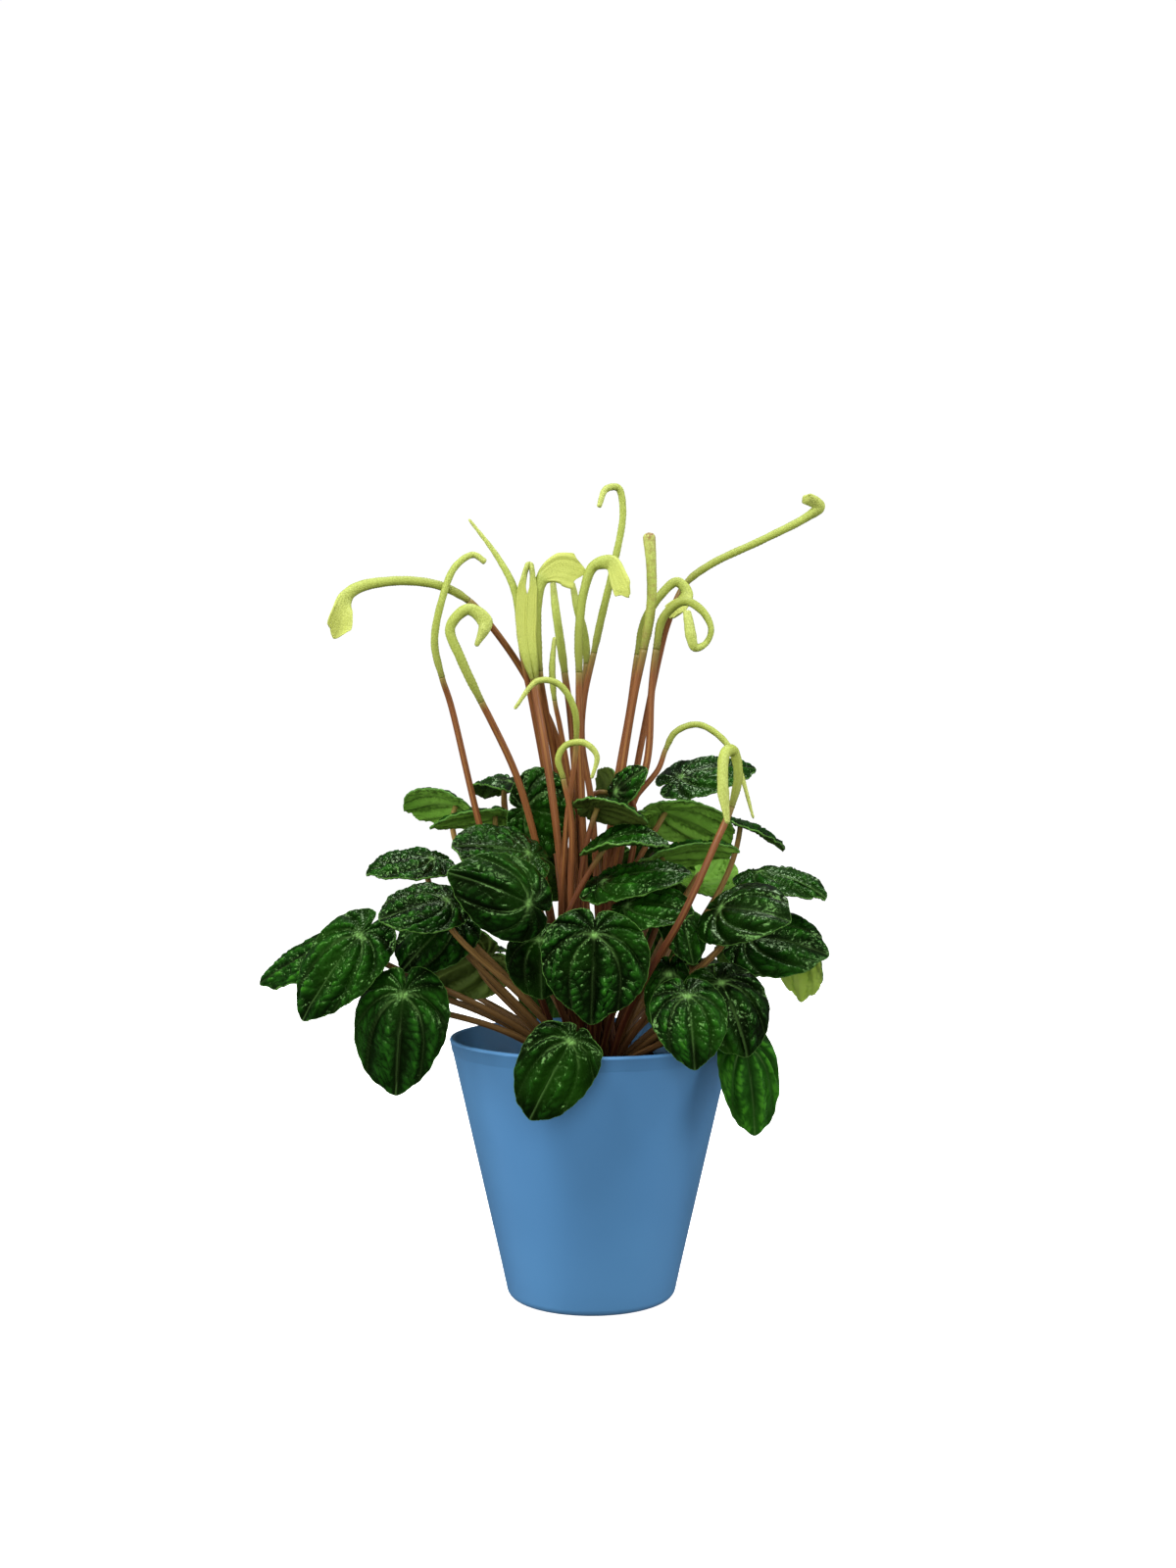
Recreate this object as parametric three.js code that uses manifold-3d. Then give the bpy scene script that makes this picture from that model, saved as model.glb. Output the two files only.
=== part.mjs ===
// Ripple peperomia (Peperomia caperata) in a tapered plastic pot.
// Millimetres, +Z up. The pot stands on z = 0 with its axis on Z, and the plant's front faces -Y.
import * as THREE from 'three';
import { mergeVertices } from 'three/addons/utils/BufferGeometryUtils.js';
import Module from 'manifold-3d';

const wasm = await Module();
wasm.setup();

// Driving dimensions
const GAP = 0.3; // clearance between pieces that rest on each other
const ROUND_SIDES = 30;
const POT = { rim: 57.8, foot: 33.5, height: 105.3, wall: 2, floor: 2.4, lip: 1, heel: 3 };
const SOIL = { top: 91, lump: 1.3, rings: [45, 32] };
const CROWN = { radius: 20, buried: 12, tall: 8, sides: 16 };
const PETIOLE = { foot: 1.9, end: 1.4, sides: 4, steps: 4 };
const PEDUNCLE = { foot: 2, neck: 0.8, sides: 5, steps: 7 };
const SPIKE = { sides: 6, steps: 12, relief: 0.09, fullness: 5.2 };
const BLADE = { thickness: 1, ripple: 0.045, waver: 0.035, seat: 1.5 };

// A blade's rays, from the midrib (0 degrees) to the lobe beside the notch, with the outline's reach
// along each as a share of the blade's length. Even rays are sunken veins, odd ones are ridges.
const RAYS = [
  { angle: 0, reach: 1 },
  { angle: 17, reach: 0.91 },
  { angle: 36, reach: 0.78 },
  { angle: 60, reach: 0.65 },
  { angle: 90, reach: 0.52 },
  { angle: 125, reach: 0.39 },
  { angle: 163, reach: 0.27 },
];
const RINGS = [
  { share: 0.3, ripple: 0.6 },
  { share: 0.65, ripple: 1 },
  { share: 1, ripple: 0.5 },
];
const NATURAL_WIDTH = 1.13; // width of that outline for a length of 1

// Colours of the living and moulded materials
const PAINT = {
  pot: { color: 0x4b7ca5, roughness: 0.45, metalness: 0 },
  soil: { color: 0x2c2119, roughness: 0.95, metalness: 0 },
  stalk: { color: 0x8a4a2c, roughness: 0.5, metalness: 0 },
  leaf: { color: 0x2a5c26, roughness: 0.35, metalness: 0 },
  spike: { color: 0xc9da70, roughness: 0.6, metalness: 0 },
};

// Leaves: at = where the petiole meets the blade, tip = the blade's point, faces = the way its upper
// side looks, bow = rise of the midrib over its chord, cup = rise of the side edges (minus: they droop),
// bend = how far the petiole swings aside. Leaves in one list touch and are one body.
const LEAVES = [
  [{ at: [1, -57, 151], tip: [0, -61, 118], faces: [0, -1, 0.25], width: 40, bow: 2, cup: -3 }],
  [{ at: [-8, -65, 112], tip: [-23, -70, 84], faces: [-0.1, -1, 0.2], width: 29, bow: 2, cup: -2 }],
  [{
    at: [36, -58, 128], tip: [38, -68, 102], faces: [0.1, -1, 0.35], width: 28, bow: 3, cup: -3,
    bend: [4, -2, -6],
  }],
  [{
    at: [60, -34, 106], tip: [63, -39, 72], faces: [0.35, -1, 0.1], width: 25, bow: 2, cup: -2,
    bend: [0, 0, 10],
  }],
  [{ at: [50, -40, 131], tip: [59, -50, 104], faces: [0.35, -1, 0.3], width: 34, bow: 3, cup: -3 }],
  [{ at: [50, -40, 160], tip: [75, -56, 156], faces: [0.1, -0.85, 0.6], width: 32, bow: 3, cup: -4 }],
  [{ at: [63, -16, 147], tip: [94, -22, 140], faces: [0.15, -0.75, 0.65], width: 34, bow: 3, cup: -3 }],
  [{ at: [69, 0, 172], tip: [94, -14, 162], faces: [0.1, -0.35, 0.95], width: 30, bow: 3, cup: -3 }],
  [{ at: [14, -38, 161], tip: [39, -46, 158], faces: [0, -0.6, 0.8], width: 26, bow: 3, cup: -3 }],
  [{ at: [5, -32, 170], tip: [39, -36, 173], faces: [-0.05, -0.4, 0.92], width: 28, bow: 3, cup: -3 }],
  [{
    at: [4, -34, 184], tip: [30, -40, 184], faces: [0, -0.25, 0.97], width: 26, bow: 2, cup: 3,
    bend: [-26, 2, -6],
  }],
  [{
    at: [1, -22, 199], tip: [22, -30, 193], faces: [0.2, 0.35, 0.95], width: 28, bow: 2, cup: -2,
    bend: [-8, 8, 0],
  }],
  [{
    at: [10, -20, 205], tip: [22, -25, 214], faces: [-0.3, -0.7, 0.6], width: 16, bow: 1, cup: -1,
    bend: [-3, 0, 0],
  }],
  [{ at: [8, 13, 203], tip: [3, 20, 214], faces: [0, 0.6, 0.6], width: 16, bow: 1, cup: -1 }],
  [{ at: [-26, -14, 198], tip: [-7, -3, 193], faces: [0.5, -0.85, 0.1], width: 37, bow: 2, cup: -3 }],
  [{
    at: [-24, -56, 163], tip: [-54, -62, 175], faces: [-0.1, -1, 0.45], width: 31, bow: 3, cup: -4,
    bend: [6, 6, 4],
  }],
  [{ at: [-25, -33, 181], tip: [-54, -42, 184], faces: [-0.05, -0.6, 0.8], width: 34, bow: 2, cup: -2 }],
  [
    {
      at: [-34, 12, 209], tip: [-46, 14, 208], faces: [0, -0.2, 1], width: 22, bow: 2, cup: -2,
      bend: [6, 6, 0],
    },
    { at: [-36, 22, 209], tip: [-46, 42, 202], faces: [-0.1, 0.3, 0.9], width: 26, bow: 2, cup: -2 },
  ],
  [{ at: [-38, 4, 195], tip: [-66, -2, 190], faces: [-0.1, 0.3, 0.95], width: 26, bow: 2, cup: -2 }],
  [{
    at: [-55, 16, 199], tip: [-79, 23, 197], faces: [0, 0.55, 0.8], width: 30, bow: 3, cup: -3,
    bend: [4, 12, 0],
  }],
  [{ at: [-64, -16, 178], tip: [-89, -24, 172], faces: [-0.05, -0.4, 0.92], width: 28, bow: 2, cup: -2 }],
  [{
    at: [-56, -40, 163], tip: [-81, -50, 156], faces: [-0.15, -0.7, 0.75], width: 28, bow: 2, cup: -2,
    bend: [4, -8, 2],
  }],
  [{ at: [-55, -24, 154], tip: [-74, -32, 135], faces: [-0.3, -0.9, 0.4], width: 30, bow: 2, cup: -3 }],
  [{ at: [-90, -36, 149], tip: [-111, -44, 117], faces: [-0.35, -1, 0.35], width: 31, bow: 3, cup: -3 }],
  [{ at: [-103, -20, 145], tip: [-132, -18, 128], faces: [-0.1, -0.6, 0.8], width: 22, bow: 2, cup: -3 }],
  [{ at: [-72, -46, 127], tip: [-74, -54, 90], faces: [-0.15, -1, 0.15], width: 36, bow: 2, cup: -4 }],
  [{ at: [-44, 8, 137], tip: [-72, 18, 123], faces: [-0.1, 1, 0.2], width: 33, bow: 3, cup: -3 }],
  [{ at: [-20, -43, 148], tip: [-19, -49, 126], faces: [0, -1, 0.2], width: 26, bow: 2, cup: -3 }],
  [{ at: [35, -34, 156], tip: [39, -40, 138], faces: [0.5, -0.8, 0.3], width: 20, bow: 1, cup: -2 }],
  [{ at: [62, 10, 141], tip: [68, 24, 126], faces: [0.3, 0.8, 0.5], width: 24, bow: 2, cup: -2 }],
  [{ at: [30, -36, 134], tip: [28, -40, 110], faces: [-0.1, -1, 0.2], width: 17, bow: 2, cup: -3 }],
  [{ at: [38, 22, 211], tip: [70, 30, 214], faces: [0, -0.45, 0.9], width: 32, bow: 3, cup: -3 }],
  [{
    at: [29, 0, 197], tip: [58, 14, 183], faces: [0.1, 0.55, 0.8], width: 32, bow: 3, cup: -3,
    bend: [-18, 2, 0],
  }],
  [{
    at: [61, 14, 193], tip: [81, 22, 180], faces: [0.1, -0.1, 1], width: 24, bow: 2, cup: -2,
    bend: [6, 6, -4],
  }],
  [{ at: [27, -4, 178], tip: [60, -8, 181], faces: [0, 0.3, 0.95], width: 30, bow: 3, cup: -3 }],
  [{
    at: [85, 12, 143], tip: [90, 26, 117], faces: [0.5, 0.7, 0.4], width: 24, bow: 2, cup: -2,
    bend: [0, -5, 4],
  }],
  [
    { at: [-62, 44, 132], tip: [-80, 58, 108], faces: [-0.5, 0.7, 0.6], width: 32, bow: 3, cup: -3 },
    {
      at: [-50, 50, 137], tip: [-68, 72, 126], faces: [-0.4, 0.5, 0.8], width: 32, bow: 3, cup: -3,
      bend: [6, -6, 4],
    },
  ],
  [
    { at: [-14, 62, 126], tip: [-18, 76, 96], faces: [-0.1, 1, 0.4], width: 34, bow: 3, cup: -3 },
    {
      at: [0, 58, 133], tip: [2, 84, 123], faces: [0, 0.5, 1], width: 34, bow: 3, cup: -3,
      bend: [6, -4, 4],
    },
  ],
  [
    { at: [32, 60, 124], tip: [40, 72, 96], faces: [0.3, 1, 0.4], width: 32, bow: 3, cup: -3 },
    {
      at: [42, 52, 131], tip: [60, 68, 120], faces: [0.4, 0.5, 0.8], width: 32, bow: 3, cup: -3,
      bend: [5, -10, 6],
    },
    { at: [36, 49, 148], tip: [33, 62, 124], faces: [-0.1, 0.9, 0.4], width: 32, bow: 2, cup: -2 },
  ],
  [
    { at: [-14, 42, 177], tip: [-23, 58, 154], faces: [-0.2, 0.8, 0.6], width: 34, bow: 3, cup: -3 },
    { at: [4, 44, 179], tip: [7, 63, 155], faces: [0.1, 0.8, 0.6], width: 34, bow: 3, cup: -3 },
    { at: [26, 39, 178], tip: [34, 57, 155], faces: [0.1, 0.8, 0.6], width: 32, bow: 3, cup: -3 },
    { at: [-30, 36, 174], tip: [-42, 50, 152], faces: [-0.3, 0.8, 0.6], width: 32, bow: 3, cup: -3 },
    { at: [46, 36, 165], tip: [58, 46, 178], faces: [0.2, 0.85, -0.5], width: 28, bow: 2, cup: -2 },
  ],
];

// Flower spikes: stem = the peduncle's way up from the crown, head = the spike's own way, girth = its
// half-width at even steps from foot to tip. Spikes in one list have grown together and are one body.
const SPIKES = [
  [
    {
      stem: [[-6, 8, 170], [-14, 12, 225], [-27, 4, 252], [-40, -12, 271]],
      head: [[-49, -18, 281], [-61, -20, 287], [-80, -24, 288], [-95, -28, 283], [-99, -32, 269]],
      girth: [1.7, 1.8, 1.8, 2, 4.4],
    },
  ],
  [
    {
      stem: [[-30, -10, 148], [-43, -13, 185], [-54, -20, 240]],
      head: [
        [-59, -24, 250], [-62, -24, 264], [-59, -24, 281],
        [-54, -22, 294], [-47, -20, 299], [-42, -20, 296],
      ],
      girth: [1.5, 1.5, 1.4, 1.3, 1.2],
    },
  ],
  [
    {
      stem: [[-18, -14, 165], [-29, -22, 209], [-40, -30, 234]],
      head: [
        [-43, -32, 240], [-51, -34, 257], [-55, -34, 270],
        [-50, -34, 276], [-43, -34, 275], [-44, -34, 262],
      ],
      girth: [1.7, 1.9, 2, 2.5, 3, 1.5],
    },
  ],
  [
    {
      stem: [[-12, 10, 160], [-18, 14, 205], [-24, 4, 240]],
      head: [[-28, -4, 262], [-31, -5, 286], [-38, -3, 300], [-50, -2, 316]],
      girth: [1.7, 1.6, 1.2, 0.5],
    },
    {
      stem: [[-10, -12, 150], [-14, -18, 191], [-19, -15, 225], [-22, -10, 242]],
      head: [[-23, -8, 250], [-26, -7, 266], [-26, -7, 284], [-25, -7, 298]],
      girth: [2.2, 3.6, 4.4, 3, 1.5],
    },
    {
      stem: [[-9, 13, 160], [-15, 14, 216], [-19, 4, 240]],
      head: [[-21, -4, 254], [-22, -5, 280], [-20, -5, 291], [-13, -5, 295], [-4, -5, 293]],
      girth: [1.7, 1.9, 2.6, 5.5, 7],
    },
  ],
  [
    {
      stem: [[-4, 8, 150], [-6, 10, 200], [-9, 10, 240]],
      head: [[-11, 10, 254], [-13, 10, 268], [-15, 11, 282], [-16, 12, 292]],
      girth: [1.8, 1.8, 1.7, 1.2],
    },
  ],
  [
    {
      stem: [[-6, 4, 150], [-8, 7, 200], [-13, 0, 232]],
      head: [[-15, -2, 242], [-16, -2, 255], [-15, -2, 268]],
      girth: [1.2, 1.4, 0.8],
    },
  ],
  [
    {
      stem: [[-5, 16, 150], [-6, 15, 200], [-5, 14, 232]],
      head: [[-2, 13, 258], [-3, 13, 270], [-6, 14, 282], [-8, 14, 292]],
      girth: [1.7, 1.8, 1.7, 1.1],
    },
  ],
  [
    {
      stem: [[-2, -6, 150], [-4, -8, 200], [-5, -8, 240]],
      head: [
        [-5, -8, 253], [-5, -8, 270], [-3, -8, 286], [1, -8, 296],
        [8, -10, 297], [12, -13, 289], [14, -15, 283],
      ],
      girth: [1.8, 1.8, 1.8, 2.2, 3.4, 4.6, 4.8],
    },
  ],
  [
    {
      stem: [[3, 4, 150], [0, 6, 200], [-4, 6, 226], [-3, 6, 243]],
      head: [[1, 6, 262], [4, 6, 276], [9, 6, 297], [13, 6, 320], [11, 5, 330], [6, 3, 329], [3, 0, 321]],
      girth: [1.6, 1.6, 1.5, 1.4, 1.5, 1.4, 1],
    },
  ],
  [
    {
      stem: [[4, -4, 150], [10, -10, 196], [12, -12, 212], [17, -12, 243]],
      head: [[21, -12, 262], [24, -12, 280], [24, -12, 296], [23, -12, 309]],
      girth: [2, 2, 2.1, 2.7],
    },
  ],
  [
    {
      stem: [[4, 6, 150], [9, 4, 200], [16, 4, 240]],
      head: [
        [19, 4, 261], [22, 4, 275], [28, 4, 285], [35, 4, 291],
        [39, 3, 287], [37, 0, 281], [32, -2, 276],
      ],
      girth: [1.8, 1.8, 1.8, 2, 2.4, 4, 5],
    },
  ],
  [
    {
      stem: [[6, -4, 150], [11, -10, 185], [22, -13, 216], [24, -12, 244]],
      head: [
        [26, -12, 262], [29, -13, 275], [37, -16, 281], [44, -18, 277],
        [47, -20, 270], [45, -20, 263], [40, -20, 258],
      ],
      girth: [1.8, 1.8, 1.9, 2.2, 2, 2.4, 3],
    },
  ],
  [
    {
      stem: [[8, 8, 150], [18, 12, 210], [28, 12, 260], [32, 12, 275]],
      head: [[39, 14, 291], [49, 14, 299], [72, 14, 310], [90, 13, 319], [95, 11, 323], [88, 9, 327]],
      girth: [1.6, 1.6, 1.6, 1.8, 2.6, 3.6],
    },
  ],
  [
    {
      stem: [[-12, -18, 150], [-10, -25, 190]],
      head: [[-6, -28, 225], [-7, -31, 238], [-13, -33, 247], [-21, -35, 248], [-30, -37, 237]],
      girth: [1.3, 1.3, 1.3, 1.2, 0.6],
    },
  ],
  [
    {
      stem: [[-8, -26, 160], [-8, -32, 195]],
      head: [
        [-11, -34, 210], [-13, -34, 218], [-10, -34, 223],
        [-3, -36, 224], [2, -36, 219], [0, -36, 210],
      ],
      girth: [1.3, 1.3, 1.3, 1.3, 1.1, 0.6],
    },
  ],
  [
    {
      stem: [[6, -6, 150], [9, -8, 180], [16, -11, 200], [27, -9, 214]],
      head: [[30, -8, 222], [34, -8, 229], [43, -8, 232], [53, -9, 226], [59, -11, 215], [65, -13, 194]],
      girth: [1.3, 1.3, 1.3, 1.3, 1.1, 0.5],
    },
  ],
  [
    {
      stem: [[12, -26, 112], [21, -44, 134], [34, -57, 158], [47, -55, 186]],
      head: [
        [51, -50, 198], [53, -47, 212], [53, -48, 220],
        [51, -53, 219], [50, -57, 208], [51, -59, 193],
      ],
      girth: [1.6, 1.8, 2, 2.4, 2.4, 0.8],
    },
  ],
];

// Helpers

const vec = (xyz) => new THREE.Vector3(...xyz);

// A geometry as a manifold solid, with its shared vertices merged.
function solidOf(geometry) {
  const bare = geometry.clone();
  bare.deleteAttribute('normal');
  bare.deleteAttribute('uv');
  const merged = mergeVertices(bare, 1e-3);
  const vertProperties = Float32Array.from(merged.attributes.position.array);
  const triVerts = Uint32Array.from(merged.index.array);
  return new wasm.Manifold(new wasm.Mesh({ numProp: 3, vertProperties, triVerts }));
}

// Several closed geometries joined into one.
function fused(geometries) {
  if (geometries.length === 1) {
    return geometries[0];
  }
  const whole = geometries.map(solidOf).reduce((sum, next) => sum.add(next));
  const mesh = whole.getMesh();
  const geometry = new THREE.BufferGeometry();
  geometry.setAttribute('position', new THREE.BufferAttribute(mesh.vertProperties, 3));
  geometry.setIndex(new THREE.BufferAttribute(mesh.triVerts, 1));
  return geometry;
}

function geometryOf(points, faces) {
  const geometry = new THREE.BufferGeometry();
  geometry.setFromPoints(points);
  geometry.setIndex(faces);
  return geometry;
}

// A value read from an evenly spaced list at a share (0 to 1) of its length.
function along(list, share) {
  const place = Math.min(share, 0.9999) * (list.length - 1);
  const first = Math.floor(place);
  return THREE.MathUtils.lerp(list[first], list[first + 1], place - first);
}

// Points and directions at even steps along a stretch of a curve.
function walk(curve, from, to, steps) {
  return Array.from({ length: steps + 1 }, (_, i) => {
    const t = from + ((to - from) * i) / steps;
    return { point: curve.getPoint(t), tangent: curve.getTangent(t) };
  });
}

// A closed tube along a walk. size(share, i, j) gives the half-width in the curve's own plane and the
// half-thickness across it, at corner j of ring i. dome is how far the end cap stands out.
function sweep(path, sides, size, dome) {
  const points = [];
  const faces = [];
  const last = path.length - 1;
  const aside = new THREE.Vector3().crossVectors(path[0].tangent, new THREE.Vector3(0, 1, 0));
  path.forEach(({ point, tangent }, i) => {
    aside.addScaledVector(tangent, -aside.dot(tangent)).normalize();
    const across = new THREE.Vector3().crossVectors(tangent, aside);
    for (let j = 0; j < sides; j++) {
      const turn = (2 * Math.PI * (j + 0.5)) / sides;
      const [wide, thick] = size(i / last, i, j);
      const corner = point.clone().addScaledVector(aside, wide * Math.cos(turn));
      points.push(corner.addScaledVector(across, thick * Math.sin(turn)));
    }
  });
  const corner = (i, j) => i * sides + (j % sides);
  const start = points.push(path[0].point.clone()) - 1;
  const end = points.push(path[last].point.clone().addScaledVector(path[last].tangent, dome)) - 1;
  for (let j = 0; j < sides; j++) {
    for (let i = 0; i < last; i++) {
      faces.push(corner(i, j), corner(i, j + 1), corner(i + 1, j + 1));
      faces.push(corner(i, j), corner(i + 1, j + 1), corner(i + 1, j));
    }
    faces.push(start, corner(0, j + 1), corner(0, j));
    faces.push(end, corner(last, j), corner(last, j + 1));
  }
  return geometryOf(points, faces);
}

// A turned solid: profile points are [radius, height], from the axis back to the axis.
function turned(profile, sides) {
  const points = profile.map(([radius, height]) => new THREE.Vector2(radius, height));
  return new THREE.LatheGeometry(points, sides).rotateX(Math.PI / 2);
}

const potRadius = (z) => POT.foot + ((POT.rim - POT.foot) * z) / POT.height;

// Pot: one tapered shell with a rounded heel, a rounded lip and a closed floor
function potGeometry() {
  const { height, wall, floor, lip, heel } = POT;
  const inside = (z) => potRadius(z) - wall;
  const shoulder = height - lip;
  return turned(
    [
      [0, 0],
      [POT.foot - heel, 0],
      [POT.foot - heel * 0.3, heel * 0.3],
      [potRadius(heel), heel],
      [potRadius(shoulder), shoulder],
      [potRadius(height) - lip * 0.4, height - lip * 0.25],
      [potRadius(height) - wall / 2, height],
      [inside(height) + lip * 0.4, height - lip * 0.25],
      [inside(shoulder), shoulder],
      [inside(floor + heel), floor + heel],
      [inside(floor) - heel, floor],
      [0, floor],
    ],
    ROUND_SIDES,
  );
}

// Soil: fills the pot, crumbly on top, with a plain round hole for the crown
function soilGeometry() {
  const bottom = POT.floor + GAP;
  const fit = (z) => potRadius(z) - POT.wall - GAP;
  const hole = CROWN.radius + GAP;
  const holeFloor = SOIL.top - CROWN.buried - GAP;
  const geometry = turned(
    [
      [0, bottom],
      [fit(bottom) - POT.heel, bottom],
      [fit(bottom + POT.heel), bottom + POT.heel],
      [fit(SOIL.top - 2), SOIL.top - 2],
      ...SOIL.rings.map((radius) => [radius, SOIL.top]),
      [hole, SOIL.top],
      [hole, holeFloor],
      [0, holeFloor],
    ],
    ROUND_SIDES,
  );
  const place = geometry.attributes.position;
  for (let i = 0; i < place.count; i++) {
    const [x, y, z] = [place.getX(i), place.getY(i), place.getZ(i)];
    const radius = Math.hypot(x, y);
    if (z > SOIL.top - 0.5 && radius > hole + 1) {
      const lump = Math.sin(x * 0.31 + y * 0.17) * Math.cos(y * 0.37 - x * 0.11);
      place.setZ(i, z + SOIL.lump * lump);
    }
  }
  return geometry;
}

// Crown: the short, half-buried stock that all stalks grow from
const crownTop = (radius) => SOIL.top + CROWN.tall * (1 - (radius / CROWN.radius) ** 2);

function crownGeometry() {
  const { radius, buried, sides } = CROWN;
  return turned(
    [
      [0, SOIL.top - buried],
      [radius - 2, SOIL.top - buried],
      [radius, SOIL.top - buried + 3],
      [radius, SOIL.top],
      [radius * 0.8, crownTop(radius * 0.8)],
      [radius * 0.4, crownTop(radius * 0.4)],
      [0, crownTop(0)],
    ],
    sides,
  );
}

// Where a stalk leaves the crown: on its own side, further out the lower it goes
function rootOf(target) {
  const bearing = Math.atan2(target.y, target.x);
  const radius = THREE.MathUtils.clamp((235 - target.z) / 8, 4, 15);
  const root = new THREE.Vector3(radius * Math.cos(bearing), radius * Math.sin(bearing), 0);
  return root.setZ(crownTop(radius) - 3);
}

// A leaf's own axes: along the blade, across it, and up from its upper side
function leafAxes({ at, tip, faces }) {
  const origin = vec(at);
  const ahead = vec(tip).sub(origin);
  const length = ahead.length();
  ahead.normalize();
  const up = vec(faces);
  up.addScaledVector(ahead, -up.dot(ahead)).normalize();
  const across = new THREE.Vector3().crossVectors(up, ahead);
  return { origin, ahead, across, up, length };
}

// Height of the blade's middle layer over its chord, without the ripple
function bladeRise(leaf, length, s, t) {
  return 4 * leaf.bow * (s / length) * (1 - s / length) + leaf.cup * ((2 * t) / leaf.width) ** 2;
}

function bladeGeometry(leaf, number) {
  const { origin, ahead, across, up, length } = leafAxes(leaf);
  const right = RAYS.map((ray, i) => [i, 1]);
  const left = right.slice(1).map(([i]) => [i, -1]).reverse();
  const rays = [...left, ...right];
  const breadth = leaf.width / (NATURAL_WIDTH * length);
  const lay = (s, t, lift) => origin.clone().addScaledVector(ahead, s).addScaledVector(across, t)
    .addScaledVector(up, lift);
  const points = [];
  for (const face of [0.5, -0.5]) {
    const skin = face * BLADE.thickness;
    points.push(lay(0, 0, skin));
    for (const [ray, side] of rays) {
      const { angle, reach } = RAYS[ray];
      const waver = 1 + BLADE.waver * Math.sin(2.4 * number + 1.7 * ray * side);
      const start = 165 * (angle / 165) ** 0.62;
      for (const { share, ripple } of RINGS) {
        const bearing = THREE.MathUtils.degToRad(angle + (start - angle) * (1 - share) ** 1.3);
        const far = reach * share * waver * length;
        const s = far * Math.cos(bearing);
        const t = far * Math.sin(bearing) * side * breadth;
        const wave = (ray % 2 ? 1 : -1) * ripple * BLADE.ripple * length;
        points.push(lay(s, t, bladeRise(leaf, length, s, t) + wave + skin));
      }
    }
  }
  const count = points.length / 2;
  const node = (ray, ring) => 1 + ray * RINGS.length + ring;
  const faces = [];
  const both = (a, b, c) => faces.push(a, b, c, a + count, c + count, b + count);
  const rim = [0];
  for (let ring = 0; ring < RINGS.length; ring++) {
    rim.push(node(0, ring));
  }
  for (let ray = 1; ray < rays.length; ray++) {
    both(0, node(ray - 1, 0), node(ray, 0));
    for (let ring = 1; ring < RINGS.length; ring++) {
      both(node(ray - 1, ring - 1), node(ray - 1, ring), node(ray, ring));
      both(node(ray - 1, ring - 1), node(ray, ring), node(ray, ring - 1));
    }
    rim.push(node(ray, RINGS.length - 1));
  }
  for (let ring = RINGS.length - 2; ring >= 0; ring--) {
    rim.push(node(rays.length - 1, ring));
  }
  rim.forEach((from, i) => {
    const to = rim[(i + 1) % rim.length];
    faces.push(to, from, from + count, to, from + count, to + count);
  });
  return geometryOf(points, faces);
}

// Petiole: rises from the crown, swings over and meets the blade's underside square on
function petioleGeometry(leaf) {
  const { origin, ahead, up, length } = leafAxes(leaf);
  const slope = (4 * leaf.bow) / length;
  const square = up.clone().addScaledVector(ahead, -slope).normalize();
  const end = origin.clone().addScaledVector(ahead, BLADE.seat);
  end.addScaledVector(square, -BLADE.thickness / 2 - 2 * GAP);
  const root = rootOf(origin);
  const span = root.distanceTo(end);
  const lean = Math.min(1, (0.8 * Math.hypot(end.x - root.x, end.y - root.y)) / (end.z - root.z));
  const out = new THREE.Vector3(root.x, root.y, 0).normalize().multiplyScalar(lean).setZ(1).normalize();
  const bend = vec(leaf.bend ?? [0, 0, 0]);
  const curve = new THREE.CubicBezierCurve3(
    root,
    root.clone().addScaledVector(out, span * 0.45).add(bend),
    end.clone().addScaledVector(square, -span * 0.25).add(bend),
    end,
  );
  const radius = (share) => THREE.MathUtils.lerp(PETIOLE.foot, PETIOLE.end, share);
  const size = (share) => [radius(share), radius(share)];
  return sweep(walk(curve, 0, 1, PETIOLE.steps), PETIOLE.sides, size, 0);
}

// The whole way of a flower stalk and its spike, and the share of it where the spike starts
function spikeRoute({ stem, head }) {
  const low = vec(stem[0]);
  const curve = new THREE.CatmullRomCurve3([rootOf(low), ...stem.map(vec), ...head.map(vec)]);
  return { curve, foot: (stem.length + 1) / (stem.length + head.length) };
}

function peduncleGeometry(spike) {
  const { curve, foot } = spikeRoute(spike);
  const path = walk(curve, 0, foot, PEDUNCLE.steps);
  const radius = (share) => THREE.MathUtils.lerp(PEDUNCLE.foot, spike.girth[0] * PEDUNCLE.neck, share);
  const size = (share) => [radius(share), radius(share)];
  return sweep(path, PEDUNCLE.sides, size, 0);
}

// Spike: a fleshy rod knobbly with florets, flat where it widens into a crest
function spikeGeometry(spike) {
  const { curve, foot } = spikeRoute(spike);
  const path = walk(curve, foot, 1, SPIKE.steps);
  path[0].point.addScaledVector(path[0].tangent, GAP);
  const size = (share, i, j) => {
    const wide = along(spike.girth, share);
    const inner = i > 0 && i < SPIKE.steps;
    const floret = 1 + (inner ? SPIKE.relief * (-1) ** (i + j) : 0);
    return [wide * floret, Math.min(wide, SPIKE.fullness / wide) * floret];
  };
  return sweep(path, SPIKE.sides, size, 0.6);
}

// Assembly
const plant = new THREE.Group();

function add(name, geometry, paint) {
  const mesh = new THREE.Mesh(geometry, new THREE.MeshStandardMaterial({ ...paint, flatShading: true }));
  mesh.name = name;
  plant.add(mesh);
}

const numbered = (word, index) => `${word}_${String(index + 1).padStart(2, '0')}`;

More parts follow.
